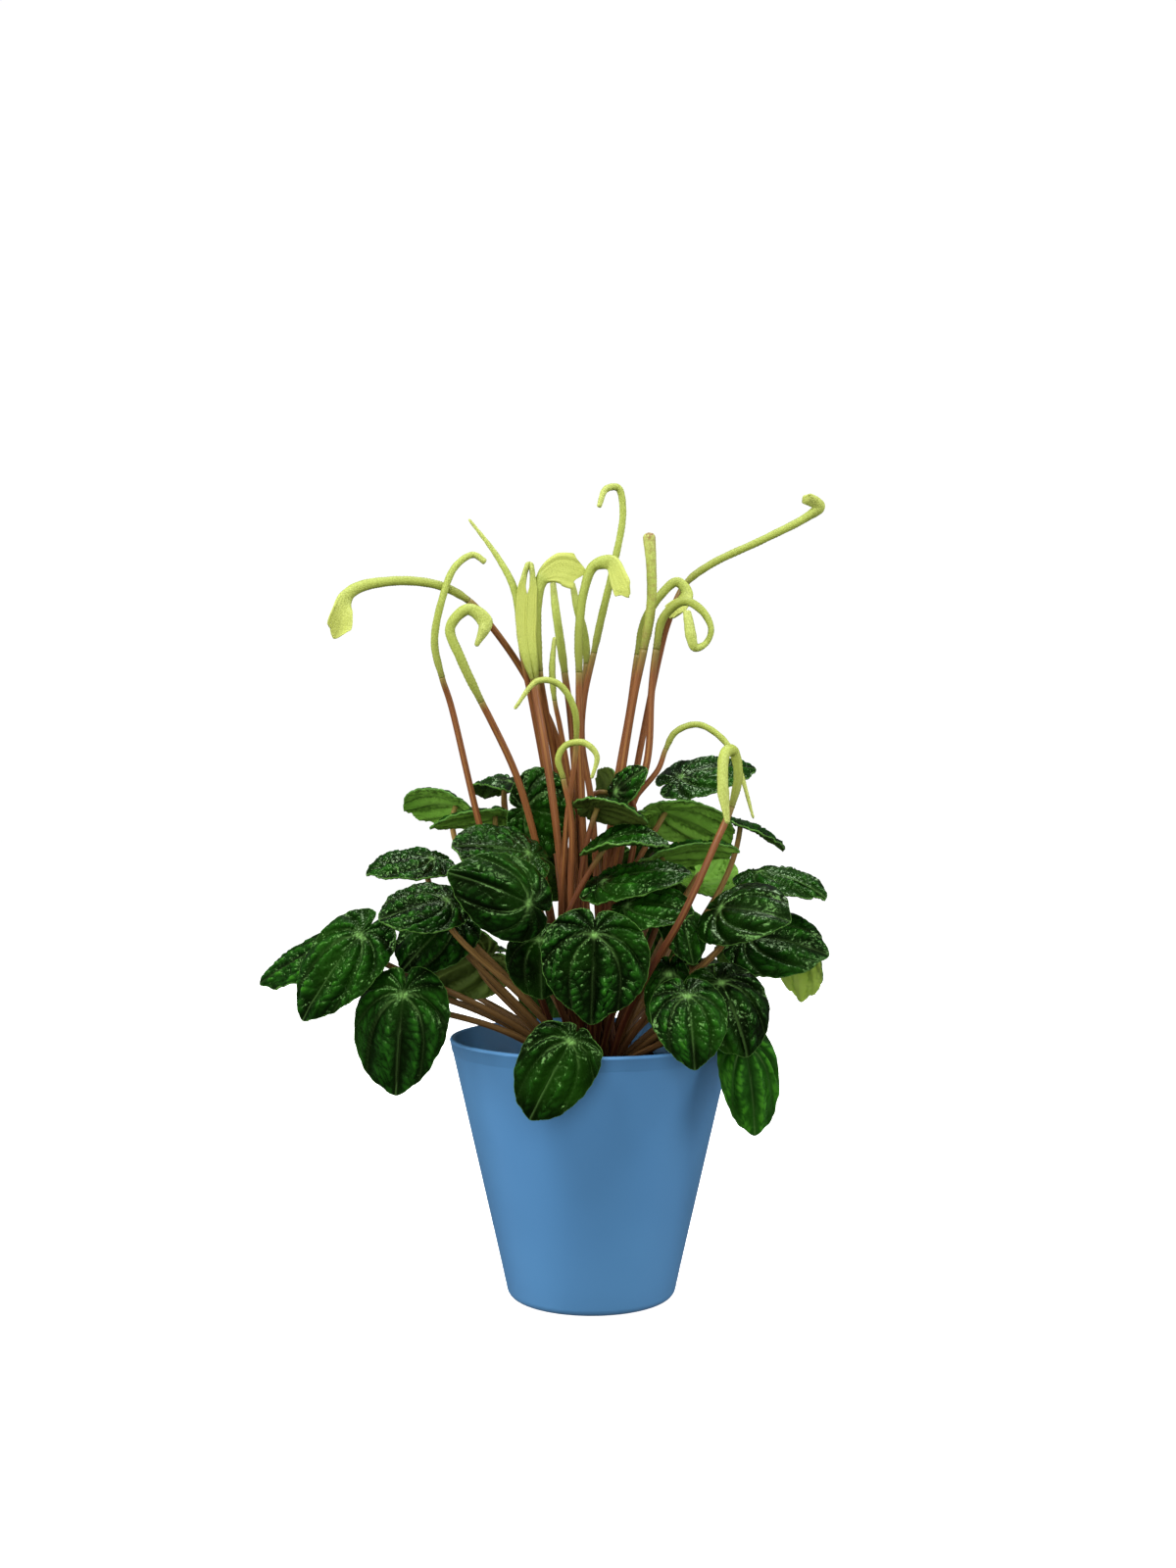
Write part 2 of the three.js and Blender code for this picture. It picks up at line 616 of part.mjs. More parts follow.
add('pot', potGeometry(), PAINT.pot);
add('soil', soilGeometry(), PAINT.soil);
add(
  'stalks',
  fused([
    crownGeometry(),
    ...LEAVES.flat().map(petioleGeometry),
    ...SPIKES.flat().map(peduncleGeometry),
  ]),
  PAINT.stalk,
);
LEAVES.forEach((group, index) => {
  const blades = group.map((leaf, twin) => bladeGeometry(leaf, index + LEAVES.length * twin));
  add(numbered('leaf', index), fused(blades), PAINT.leaf);
});
SPIKES.forEach((group, index) => {
  add(numbered('spike', index), fused(group.map(spikeGeometry)), PAINT.spike);
});

export default plant;
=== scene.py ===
import math
from collections import namedtuple
from functools import partial
from types import SimpleNamespace as Sizes

import bpy
import numpy as np
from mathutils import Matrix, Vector, noise


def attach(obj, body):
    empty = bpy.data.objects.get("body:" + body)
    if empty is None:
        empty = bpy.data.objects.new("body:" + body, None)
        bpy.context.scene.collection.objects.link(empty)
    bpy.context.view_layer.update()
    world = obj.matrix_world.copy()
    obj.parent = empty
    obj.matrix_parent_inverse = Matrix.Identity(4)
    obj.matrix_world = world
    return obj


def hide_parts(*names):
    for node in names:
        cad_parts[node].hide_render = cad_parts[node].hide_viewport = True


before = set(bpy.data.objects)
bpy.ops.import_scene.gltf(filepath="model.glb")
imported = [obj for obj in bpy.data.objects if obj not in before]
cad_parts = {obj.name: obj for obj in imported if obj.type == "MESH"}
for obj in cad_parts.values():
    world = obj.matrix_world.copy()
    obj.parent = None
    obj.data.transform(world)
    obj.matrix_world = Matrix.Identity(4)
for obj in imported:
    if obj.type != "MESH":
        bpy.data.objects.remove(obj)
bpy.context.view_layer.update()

MM = 0.001
MERGE_DISTANCE = 2e-6  # in metres
GRAIN_SHIFT = (17.3, 5.1, 9.7)  # how far a noise field moves from one seed to the next
PILLOW_SHIFT = (3.7, 1.9, 0)

# Driving dimensions, as in the part's source
POT = Sizes(rim=57.8, foot=33.5, height=105.3, wall=2.0, floor=2.4, heel=4.0)
SOIL_TOP = 91.0
CROWN = Sizes(radius=20.0, tall=8.0)
ROOT = Sizes(inner=4, outer=15, level=235, slope=8, buried=3)  # where stalks leave the crown
# A petiole's seat under its blade, and how it leans out, rises and drops, as shares of its span
PETIOLE = Sizes(foot=1.5, end=1.1, seat=1.5, sunk=0.2, lean=0.8, rise=0.45, drop=0.25, rings=30)
PEDUNCLE = Sizes(foot=1.45, neck=0.8, rings=60)
BLADE_THICKNESS = 0.8
NATURAL_WIDTH = 1.13  # width of the plain margin, for a length of 1

# A blade's margin: its distance from the petiole as a share of the length, by degrees from the midrib
MARGIN = {17: 0.91, 36: 0.79, 60: 0.66, 90: 0.53, 125: 0.4, 150: 0.34, 166: 0.3, 174: 0.25}
MARGIN_SOFTENING = 9  # degrees over which its corners are rounded
LOBES = [100, 120]  # degrees from the midrib between which the lobes beside the notch begin
TIP_SPREAD = 9  # half-width in degrees of the point that a blade draws out past its round outline
WAVER = Sizes(depth=0.035, degrees=34, calm=25, shift=2.4)  # the margin's long wave, calm beside the tip
SCALLOP = Sizes(depth=0.012, count=23, beat=0.37)  # its small waves
BLADE_MIDDLE = 0.36  # middle of the sheet on the midrib, as a share of the length
BLADE_CELL = 0.56  # spacing of a blade's points
CROWDING = 0.25  # draws those points towards the tip and the notch
PALE_RIM = 0.985  # share of the way out where the pale margin begins

# Where veins (even) and the ridges between them (odd) end on the margin, in degrees from the midrib
VEIN_ENDS = [0, 8, 18, 36, 56, 78, 100, 120, 140, 160, 180]
VEIN_WOBBLE = 5  # degrees by which those places differ from leaf to leaf
VEIN_ARCH = Sizes(spread=0.43, ease=1.3)  # less spread: side veins leave the petiole wider
VEIN_SEARCH = 18  # halvings that find the vein line through a point
# Radians by which waves shift from leaf to leaf, from vein to vein and from half to half
ENDS_SHIFT = (1.9, 2.6, 1.3)
RIDGE_SHIFT = (2.3, 4.1, 1.7)

# Relief of a blade: long ridges between main veins, with their height as a share of its length
RIDGE = Sizes(height=0.024, smooth=0.6, mean=1.2, swing=0.8, roundness=1.2)
RIDGE_OUTWARDS = ([0, 0.3, 0.65, 1], [0, 0.7, 1, 0.5])  # from the petiole to the margin
RIDGE_AROUND = ([0, 100, 180], [1, 1, 0.4])  # from the midrib to the notch
CREASE = Sizes(width=0.42, depth=0.5, full=5, midrib=0.3)  # sharp, along a main vein
# Pillows between small veins, clear of main veins (mm) and the petiole (share of the way out). cut, vein and
# half pick their part of the noise, so that no two rows are alike
PILLOW = Sizes(along=2.5, aside=4.4, slant=0.3, height=1.7, gap=0.6, cut=7.7, vein=9, half=40)
PILLOW_ROOM = Sizes(aside=(0.2, 2.6), out=(0.05, 0.25))
PUCKER = Sizes(size=1.3, height=0.3, half=3)  # finer puckers on the pillows
COCKLE = Sizes(size=7, height=0.022, inner=0.5, outer=(0.6, 1), seed=11)  # broad dents, deeper at the margin
MARGIN_CALM = Sizes(start=0.85, share=0.45)  # how far all relief fades towards the margin

# Paleness of veins, from and to degrees from the midrib, out = shares of the way to the margin
SIDE_VEIN = Sizes(least=0.05, pale=0.3, start=(4, 14), stop=(60, 110))
SIDE_VEIN_OUTWARDS = ([0, 0.08, 0.3, 0.5, 1], [0.3, 1, 0.8, 0.2, 0.1])
MIDRIB = Sizes(pale=0.16, stop=(2, 6), out=(0.2, 0.5))
PALE_SPOT = Sizes(pale=0.8, size=1.2)  # where the petiole ends
PAINTED_RELIEF_LIGHT = Sizes(dome=0.4, relief=0.35, span=0.1)  # painted light and shade: how much pillow tops and raised relief are painted lighter on the green, creases painted darker

# Stalks flare at the crown. Their ribs are shares of the radius
STALK_SIDES = 12
FLARE = Sizes(wide=0.45, ease=18)
BROAD_RIBS = Sizes(height=0.05, count=3, shift=5)
FINE_RIBS = Sizes(height=0.03, count=7, twist=9)
STALK_TONES = (0.3, 1)
SUNLIT = (15, 55)  # distance from the middle over which petioles are painted from shaded red to lit tan: painted shade and painted light
CROWN_SKIN = Sizes(lump=1.2, lump_size=4, sunk=0.4, skirt=2, skirt_from=0.9)

# Spikes: fullness = half-width times half-thickness where they are flat, slimming = keeps florets within the
# solid's width, foot = narrow as the stalk at first
SPIKE = Sizes(sides=36, ring_step=0.5, fullness=5.2, slimming=0.97, foot=0.8, foot_length=7, round_end=0.98)
FLORET = Sizes(rows=7, step=1.1, relief=0.16)
CREST = Sizes(start=2.7, full=4.2, ribs=2.5, rib_depth=0.35, drift=2.5)  # start, full: half-widths
CREST_END = Sizes(start=0.75, rounding=2.4, wave=4.2, shift=0.6, corners=0.12, thinning=0.7)
# Strands of a spike that parts, as shares of its width: closed and, with narrowing and opening, open
STRAND = Sizes(width=0.57, narrowing=0.17, aside=0.43, opening=0.15, opens=0.15, closes=0.12)
DRY = Sizes(all_over=0.35, tip=(0.9, 0.96))

# The pot: its base (radius, height), levels of its walls, and the step below its lip (down, outwards)
RING = POT.foot - POT.heel
POT_BASE = [(0, 0.6), (20, 0.6), (RING - 1.5, 0.4), (RING - 0.5, 0)]
POT_OUTSIDE = (12, 30, 50, 70, 90)
POT_STEP = [(6.2, 0), (5.7, 0.02), (5.2, 0.22), (1.4, 0.04615)]
POT_INSIDE = (POT.height - 4, 90, 60, 30, POT.floor + 3)
POT_SIDES = 160
LIP_INSET = 0.1
INNER_CORNER = 3
ARC_STEPS = 9

# The soil. Its rows run over its top, down its side and under its foot
SOIL = Sizes(gap=0.3, below=0.6, foot_radius=31.4, foot=2.8, even=3)
SOIL_ROWS = [0, 0.8, 0.98, 1]
SOIL_LUMPS = [(1.4, 9, 0), (0.9, 3, 2), (0.5, 1.4, 5)]  # height, size and seed
CRUMB = Sizes(count=420, sizes=(0.7, 2.0), spread=(0.12, 0.93), flat=0.65, lift=0.2, lump=0.35, lump_size=0.8)

# Undersides of leaves: two greens and the colour of the veins. Most kinds are shaded and lit copies of one
# underside green: painted shade and painted light. The young one is a pale yellow-green painted lighter, as
# if light shone through.
UNDERSIDES = {
    "shaded": ("#2A4712", "#3C5F1C", "#587A32"),
    "olive": ("#36461A", "#485A22", "#626E32"),
    # painted light: a lit copy of the underside green
    "painted_light": ("#5A8A2C", "#74A53E", "#3C6A20"),
    # pale yellow-green, painted lighter as if light shone through
    "young": ("#9CBC46", "#BEDA66", "#7E9E38"),
}
# Skins of stalks, from the crown upwards: those in the middle of the plant, painted darker red for its shade,
# those at its sides, painted lighter tan for the light they get, and streaks
STALK_SKINS = {
    "petiole_streaked": (("#180704", "#3E1C10", "#643A22"), ("#2A180C", "#644A28", "#8A6C3C"), "#92723F"),
    "peduncle_streaked": (("#1A0805", "#421E12", "#6E4224"), ("#2E1C0E", "#6A4E2A", "#8A6C3C"), "#9E7838"),
    "crown_scarred": (("#1C0907", "#3A1A12", "#5A3020"), ("#2A1A12", "#4A3424", "#5E4630"), "#54361F"),
}

# Studio: lamps as name, place, size across and watts. Leaves mirror the small lamps as glints. The softboxes
# only fill the shadows, and no surface mirrors them.
LAMP_AIM = (0, 0, 160)
LAMPS = [
    ("front_softbox", (-60, -1150, 330), 900, 12),
    ("left_softbox", (-1100, -150, 260), 900, 14),
    ("right_softbox", (1050, -100, 360), 900, 9),
    ("back_softbox", (-200, 1050, 600), 800, 8),
    ("key_lamp", (-420, -560, 1000), 340, 8),
    ("side_lamp", (560, -420, 900), 260, 4),
    ("top_lamp", (40, 160, 1150), 300, 5),
]
# seen and floor_glow keep the far floor and the surround behind it one even pale white
SURROUND = Sizes(light=0.12, seen=1.02, floor_glow=0.92)
CAMERA = Sizes(place=(-1.4, -724, 208), lens=40.7)

# Leaves: at = where the petiole meets the blade, tip = its point, faces = the way its upper side looks,
# bow = rise of the midrib, cup = rise of the side edges, bend = how far the petiole swings aside,
# quilt = how deep the pillows are: 1 on most leaves, less on young smooth ones, sinus = how far from the
# petiole the notch ends and point = how far the tip is drawn out, as shares of the length, lobes = size of
# the lobes beside the notch, tone = painted light and shade: how much lighter its green is painted, to stand
# for the light the leaf gets, under = its underside's colours
Leaf = namedtuple(
    "Leaf", "at tip faces width bow cup bend quilt sinus point lobes tone under",
    defaults=[(0, 0, 0), 1, 0.04, 0.06, 1, 0, "shaded"],
)

LEAVES = [
    [Leaf((1, -57, 151), (0, -61, 118), (0, -1, 0.25), 40, 2, -3, sinus=0.17, point=0.13)],
    [Leaf(
        (-8, -65, 112), (-23, -69.8, 84), (-0.1, -1, 0.2), 29, 2, -2,
        quilt=0.5, point=0.04, lobes=0.72, tone=-0.15,
    )],
    [Leaf(
        (36, -58, 128), (38, -68, 102), (0.1, -1, 0.35), 28, 3, -3,
        bend=(4, -2, -6), quilt=0.7, tone=0.04,
    )],
    [Leaf(
        (60, -34, 106), (63, -39, 72), (0.35, -1, 0.1), 25, 2, -2,
        bend=(0, 0, 10), quilt=0.25, tone=0.33,
    )],
    [Leaf((50, -40, 131), (59, -50, 104), (0.35, -1, 0.3), 34, 3, -3, quilt=0.5, tone=-0.12)],
    [Leaf((50, -40, 160), (75, -56, 156), (0.1, -0.85, 0.6), 32, 3, -4, quilt=0.35, tone=-0.14)],
    [Leaf(
        (63, -16, 147), (94, -22, 140), (0.15, -0.75, 0.65), 34, 3, -3,
        quilt=0.5, point=0.12, tone=0.02,
    )],
    [Leaf((69, 0, 172), (94, -14, 162), (0.1, -0.35, 0.95), 30, 3, -3)],
    [Leaf((14, -38, 161), (39, -46, 158), (0, -0.6, 0.8), 26, 3, -3)],
    [Leaf((5, -32, 170), (39, -36, 173), (-0.05, -0.4, 0.92), 28, 3, -3)],
    [Leaf((4, -34, 184), (30, -40, 184), (0, -0.25, 0.97), 26, 2, 3, bend=(-26, 2, -6))],
    [Leaf((1, -22, 199), (22, -30, 193), (0.2, 0.35, 0.95), 28, 2, -2, bend=(-8, 8, 0), under="olive")],
    [Leaf((10, -20, 205), (22, -25, 214), (-0.3, -0.7, 0.6), 16, 1, -1, bend=(-3, 0, 0))],
    [Leaf((8, 13, 203), (3, 20, 214), (0, 0.6, 0.6), 16, 1, -1, under="olive")],
    [Leaf((-26, -14, 198), (-7, -3, 193), (0.5, -0.85, 0.1), 37, 2, -3)],
    [Leaf(
        (-24, -56, 163), (-54, -62, 175), (-0.1, -1, 0.45), 31, 3, -4,
        bend=(6, 6, 4), quilt=0.35, tone=-0.06,
    )],
    [Leaf((-25, -33, 181), (-54, -42, 184), (-0.05, -0.6, 0.8), 34, 2, -2)],
    [
        Leaf((-34, 12, 209), (-46, 14, 208), (0, -0.2, 1), 22, 2, -2, bend=(6, 6, 0)),
        Leaf((-36, 22, 209), (-46, 42, 202), (-0.1, 0.3, 0.9), 26, 2, -2),
    ],
    [Leaf((-38, 4, 195), (-66, -2, 190), (-0.1, 0.3, 0.95), 26, 2, -2, under="painted_light")],
    [Leaf((-55, 16, 199), (-79, 23, 197), (0, 0.55, 0.8), 30, 3, -3, bend=(4, 12, 0), under="painted_light")],
    [Leaf((-64, -16, 178), (-89, -24, 172), (-0.05, -0.4, 0.92), 28, 2, -2)],
    [Leaf((-56, -40, 163), (-81, -50, 156), (-0.15, -0.7, 0.75), 28, 2, -2, bend=(4, -8, 2))],
    [Leaf((-55, -24, 154), (-74, -32, 135), (-0.3, -0.9, 0.4), 30, 2, -3, quilt=0.5)],
    [Leaf(
        (-90, -36, 149), (-111, -44, 117), (-0.35, -1, 0.35), 31, 3, -3,
        quilt=1.1, sinus=0.02, point=0.03, tone=0.05,
    )],
    [Leaf((-103, -20, 145), (-132, -18, 128), (-0.1, -0.6, 0.8), 22, 2, -3, point=0.1, tone=0.1)],
    [Leaf(
        (-72, -46, 127), (-74, -54, 90), (-0.15, -1, 0.15), 36, 2, -4,
        quilt=0.35, sinus=0.02, point=0.03, tone=0.04,
    )],
    [Leaf((-44, 8, 137), (-72, 18, 123), (-0.1, 1, 0.2), 33, 3, -3, under="olive")],
    [Leaf((-20, -43, 148), (-19, -49, 126), (0, -1, 0.2), 26, 2, -3, quilt=0.4, tone=-0.2)],
    [Leaf((35, -34, 156), (39, -40, 138), (0.5, -0.8, 0.3), 20, 1, -2)],
    [Leaf((62, 10, 141), (68, 24, 126), (0.3, 0.8, 0.5), 24, 2, -2, under="painted_light")],
    [Leaf((30, -36, 134), (28, -40, 110), (-0.1, -1, 0.2), 17, 2, -3)],
    [Leaf((38, 22, 211), (70, 30, 214), (0, -0.45, 0.9), 32, 3, -3)],
    [Leaf((29, 0, 197), (58, 14, 183), (0.1, 0.55, 0.8), 32, 3, -3, bend=(-18, 2, 0), under="painted_light")],
    [Leaf((61, 14, 193), (81, 22, 180), (0.1, -0.1, 1), 24, 2, -2, bend=(6, 6, -4))],
    [Leaf((27, -4, 178), (60, -8, 181), (0, 0.3, 0.95), 30, 3, -3, under="painted_light")],
    [Leaf(
        (83.5, 12, 143), (89, 26, 116), (0.5, 0.7, 0.4), 24, 2, -2,
        bend=(0, -5, 4), point=0.12, under="young",
    )],
    [
        Leaf((-62, 44, 132), (-80, 58, 108), (-0.5, 0.7, 0.6), 32, 3, -3),
        Leaf((-50, 50, 137), (-68, 72, 126), (-0.4, 0.5, 0.8), 32, 3, -3, bend=(6, -6, 4)),
    ],
    [
        Leaf((-14, 62, 126), (-18, 76, 96), (-0.1, 1, 0.4), 34, 3, -3),
        Leaf((0, 58, 133), (2, 84, 123), (0, 0.5, 1), 34, 3, -3, bend=(6, -4, 4)),
    ],
    [
        Leaf((32, 60, 124), (40, 72, 96), (0.3, 1, 0.4), 32, 3, -3),
        Leaf((42, 52, 131), (60, 68, 120), (0.4, 0.5, 0.8), 32, 3, -3, bend=(5, -10, 6)),
        Leaf((36, 49, 148), (33, 62, 124), (-0.1, 0.9, 0.4), 32, 2, -2),
    ],
    [
        Leaf((-14, 42, 177), (-23, 58, 154), (-0.2, 0.8, 0.6), 34, 3, -3),
        Leaf((4, 44, 179), (7, 63, 155), (0.1, 0.8, 0.6), 34, 3, -3),
        Leaf((26, 39, 178), (34, 57, 155), (0.1, 0.8, 0.6), 32, 3, -3),
        Leaf((-30, 36, 174), (-42, 50, 152), (-0.3, 0.8, 0.6), 32, 3, -3),
        Leaf((46, 36, 165), (58, 46, 178), (0.2, 0.85, -0.5), 28, 2, -2, under="painted_light"),
    ],
]

# Flower spikes: stem = the peduncle's way up from the crown, head = the spike's own way, girth = half-width
# at even steps, fold = how far a crest's edges rise as a share of its width, lobes = its ragged end in mm,
# dry = how brown its tip is, gap = the shares of its way between which it parts in two, as a hairpin
Spike = namedtuple("Spike", "stem head girth fold lobes dry gap", defaults=[0, 0, 0, None])

SPIKES = [
    [Spike(
        stem=[(-6, 8, 170), (-14, 12, 225), (-27, 4, 252), (-40, -12, 271)],
        head=[(-49, -18, 281), (-61, -20, 287), (-80, -24, 288), (-95, -28, 283), (-101, -32, 266)],
        girth=[1.7, 1.8, 1.9, 2.5, 5.6],
        fold=0.9, lobes=1.2,
    )],
    [Spike(
        stem=[(-30, -10, 148), (-43, -13, 185), (-56, -20, 240)],
        head=[
            (-59, -24, 250), (-62, -24, 264), (-59, -24, 281),
            (-54, -22, 294), (-47, -20, 299), (-42, -20, 296),
        ],
        girth=[1.5, 1.5, 1.4, 1.3, 1.2],
    )],
    [Spike(
        stem=[(-18, -14, 165), (-29, -22, 209), (-40, -30, 234)],
        head=[
            (-43, -32, 240), (-51, -34, 257), (-55, -34, 269),
            (-48, -34, 276), (-41.5, -34, 271), (-45, -34, 261.5),
        ],
        girth=[1.7, 1.9, 2, 2.3, 3.2, 0.7],
        fold=0.5, lobes=1,
    )],
    [
        Spike(
            stem=[(-12, 10, 160), (-18, 14, 205), (-24, 4, 240)],
            head=[(-28, -4, 262), (-31, -5, 286), (-38, -3, 300), (-50, -2, 316)],
            girth=[1.7, 1.6, 1.2, 0.5],
        ),
        Spike(
            stem=[(-10, -12, 150), (-14, -18, 191), (-19, -15, 225), (-22, -10, 242)],
            head=[(-23, -8, 250), (-26, -7, 266), (-26, -7, 284), (-25, -7, 298)],
            girth=[2.2, 3.7, 4.5, 4.2, 1.6],
            fold=0.2, gap=(0.62, 0.98),
        ),
        Spike(
            stem=[(-9, 13, 160), (-15, 14, 216), (-19, 4, 240)],
            head=[(-21, -4, 254), (-22, -5, 280), (-20, -5, 291), (-13, -5, 295), (-4, -5, 293)],
            girth=[1.7, 1.9, 2.8, 6.8, 7.6],
            fold=0.2, lobes=1.6,
        ),
    ],
    [Spike(
        stem=[(-4, 8, 150), (-6, 10, 200), (-9, 10, 240)],
        head=[(-11, 10, 254), (-13, 10, 268), (-15, 11, 282), (-16, 12, 292)],
        girth=[1.8, 1.8, 1.7, 1.2],
    )],
    [Spike(
        stem=[(-6, 4, 150), (-8, 7, 200), (-13, 0, 232)],
        head=[(-15, -2, 242), (-16, -2, 255), (-15, -2, 268)],
        girth=[1.2, 1.4, 0.8],
    )],
    [Spike(
        stem=[(-5, 16, 150), (-6, 15, 200), (-5, 14, 232)],
        head=[(-2, 13, 258), (-3, 13, 270), (-6, 14, 282), (-8, 14, 292)],
        girth=[1.7, 1.8, 1.7, 1.1],
    )],
    [Spike(
        stem=[(-2, -6, 150), (-4, -8, 200), (-5, -8, 240)],
        head=[
            (-5, -8, 253), (-5, -8, 270), (-3, -8, 286), (1, -8, 296),
            (8, -10, 297), (12, -13, 289), (14, -15, 283),
        ],
        girth=[1.8, 1.8, 1.8, 2.2, 3.4, 4.6, 4.8],
        fold=0.3, lobes=1,
    )],
    [Spike(
        stem=[(3, 4, 150), (0, 6, 200), (-4, 6, 226), (-3, 6, 243)],
        head=[
            (1, 6, 262), (4, 6, 276), (9, 6, 297), (13, 6, 320),
            (11, 5, 329.7), (6, 3, 328.9), (3, 0, 321),
        ],
        girth=[1.6, 1.6, 1.5, 1.4, 1.5, 1.4, 1],
    )],
    [Spike(
        stem=[(4, -4, 150), (10, -10, 196), (12, -12, 212), (17, -12, 243)],
        head=[(21, -12, 262), (24, -12, 280), (24, -12, 296), (23, -12, 309)],
        girth=[2, 2, 2.1, 2.7],
        dry=1,
    )],
    [Spike(
        stem=[(4, 6, 150), (9, 4, 200), (16, 4, 240)],
        head=[
            (19, 4, 261), (22, 4, 275), (28, 4, 285), (35, 4, 291),
            (39, 3, 287), (37, 0, 281), (32, -2, 276),
        ],
        girth=[1.8, 1.8, 1.8, 2, 2.4, 4, 5],
        fold=0.5, lobes=0.8,
    )],
    [Spike(
        stem=[(6, -4, 150), (11, -10, 185), (22, -13, 216), (24, -12, 244)],
        head=[
            (26, -12, 262), (29, -13, 275), (37, -16, 281), (44, -18, 277), (47.5, -20, 269.5),
            (45.5, -20, 264), (41, -22, 262), (39.3, -22, 267), (38.6, -21, 272), (37.8, -19.5, 277),
        ],
        girth=[1.8, 1.8, 1.8, 1.6, 1.2, 1.2, 1.7, 2.3, 2, 1.6],
    )],
    [Spike(
        stem=[(8, 8, 150), (18, 12, 210), (28, 12, 260), (32, 12, 275)],
        head=[(39, 14, 291), (49, 14, 299), (72, 14, 310), (89.6, 13, 319), (94.4, 11, 323), (88, 9, 327)],
        girth=[1.6, 1.6, 1.6, 1.8, 2.6, 3.3],
        fold=0.8, lobes=1.2,
    )],
    [Spike(
        stem=[(-12, -18, 150), (-10, -25, 190)],
        head=[(-6, -28, 225), (-7, -31, 238), (-13, -33, 247), (-21, -35, 248), (-30, -37, 237)],
        girth=[1.3, 1.3, 1.3, 1.2, 0.6],
    )],
    [Spike(
        stem=[(-8, -26, 160), (-8, -32, 195)],
        head=[
            (-11, -34, 210), (-13, -34, 218), (-10, -34, 223),
            (-3, -36, 224), (2, -36, 219), (0, -36, 210),
        ],
        girth=[1.3, 1.3, 1.3, 1.3, 1.1, 0.6],
    )],
    [Spike(
        stem=[(6, -6, 150), (9, -8, 180), (16, -11, 200), (27, -9, 214)],
        head=[(30, -8, 222), (34, -8, 229), (43, -8, 232), (53, -9, 226), (59, -11, 215), (65, -13, 194)],
        girth=[1.3, 1.3, 1.3, 1.3, 1.1, 0.5],
    )],
    [Spike(
        stem=[(12, -26, 112), (21, -44, 134), (34, -57, 158), (47, -55, 186)],
        head=[
            (53, -50, 199), (56, -47, 212), (54, -48, 220.5),
            (50.5, -53, 219.5), (49.3, -57, 208), (51, -59, 193),
        ],
        girth=[1.6, 1.8, 2.1, 2.6, 2.8, 0.8],
        fold=0.7,
    )],
]

# Helpers


def vec(xyz):
    return np.array(xyz, float)


def unit(v):
    return v / np.linalg.norm(v, axis=-1, keepdims=True)


def columns(*parts):
    """Arrays and single values side by side, one row for each point."""
    return np.stack(np.broadcast_arrays(*parts), axis=-1)


def around(radius, turn, height):
    """Points about the pot's axis, with the turn in radians."""
    return columns(radius * np.cos(turn), radius * np.sin(turn), height)


def blend(low, high, share):
    return low + (high - low) * share


def eased(low, high, x):
    """0 below low, 1 above high, and a smooth slope between."""
    t = np.clip((x - low) / (high - low), 0, 1)
    return t * t * (3 - 2 * t)


def shifted(steps, *counts):
    """A value from -1 to 1 that differs from one count to the next, by steps in radians."""
    return np.sin(sum(step * count for step, count in zip(steps, counts)))


def grain(points, size, seed=0):
    """Smooth noise from -1 to 1 at points in mm, with lumps about size mm across."""
    shift = Vector([seed * step for step in GRAIN_SHIFT])
    return np.array([noise.noise(Vector(p) / size + shift) for p in points])


def pick(*pieces):
    """Selects these pieces alone, the first one active."""
    bpy.ops.object.select_all(action="DESELECT")
    for piece in pieces:
        piece.select_set(True)
    bpy.context.view_layer.objects.active = pieces[0]


def edit_all(operator, **settings):
    """Runs an edit-mode operator on the whole active piece."""
    bpy.ops.object.mode_set(mode="EDIT")
    bpy.ops.mesh.select_all(action="SELECT")
    operator(**settings)
    bpy.ops.object.mode_set(mode="OBJECT")


def laid_grid(name, across, along, place):
    """A grid primitive whose points are laid out by place(u, v), with u and v from 0 to 1. place gives the
    points in mm and three or four marks for each, kept as the colour attribute marks. Points that meet are
    merged."""
    bpy.ops.object.select_all(action="DESELECT")
    bpy.ops.mesh.primitive_grid_add(x_subdivisions=across, y_subdivisions=along, size=1)
    piece = bpy.context.object
    piece.name = piece.data.name = name
    mesh = piece.data
    flat = np.empty(len(mesh.vertices) * 3)
    mesh.vertices.foreach_get("co", flat)
    u, v = np.round(flat.reshape(-1, 3)[:, :2] + 0.5, 6).T
    points, marks = place(u, v)
    mesh.vertices.foreach_set("co", (points * MM).ravel())
    layer = mesh.color_attributes.new(name="marks", type="FLOAT_COLOR", domain="POINT")
    layer.data.foreach_set("color", np.column_stack([marks, np.ones(len(u))])[:, :4].ravel())
    edit_all(bpy.ops.mesh.remove_doubles, threshold=MERGE_DISTANCE)
    bpy.ops.object.shade_smooth()
    return piece


def face_out(piece):
    pick(piece)
    edit_all(bpy.ops.mesh.normals_make_consistent, inside=False)
    return piece


def joined(name, pieces):
    pick(*pieces)
    if len(pieces) > 1:
        bpy.ops.object.join()
    pieces[0].name = pieces[0].data.name = name
    return pieces[0]


def apply_modifier(piece, kind, **settings):
    pick(piece)
    modifier = piece.modifiers.new(kind.title(), kind)
    for key, value in settings.items():
        setattr(modifier, key, value)
    bpy.ops.object.modifier_apply(modifier=modifier.name)


def dressed(piece, slot, materials, *nodes):
    """Adds materials to a piece and puts it in place of CAD nodes; slot is not used."""
    for made in materials:
        piece.data.materials.append(made)
    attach(piece, "root")
    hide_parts(*nodes)


def colour(code):
    """An sRGB hex code as a linear colour."""
    channels = [int(code[i:i + 2], 16) / 255 for i in (1, 3, 5)]
    return (*(c / 12.92 if c <= 0.04045 else ((c + 0.055) / 1.055) ** 2.4 for c in channels), 1)


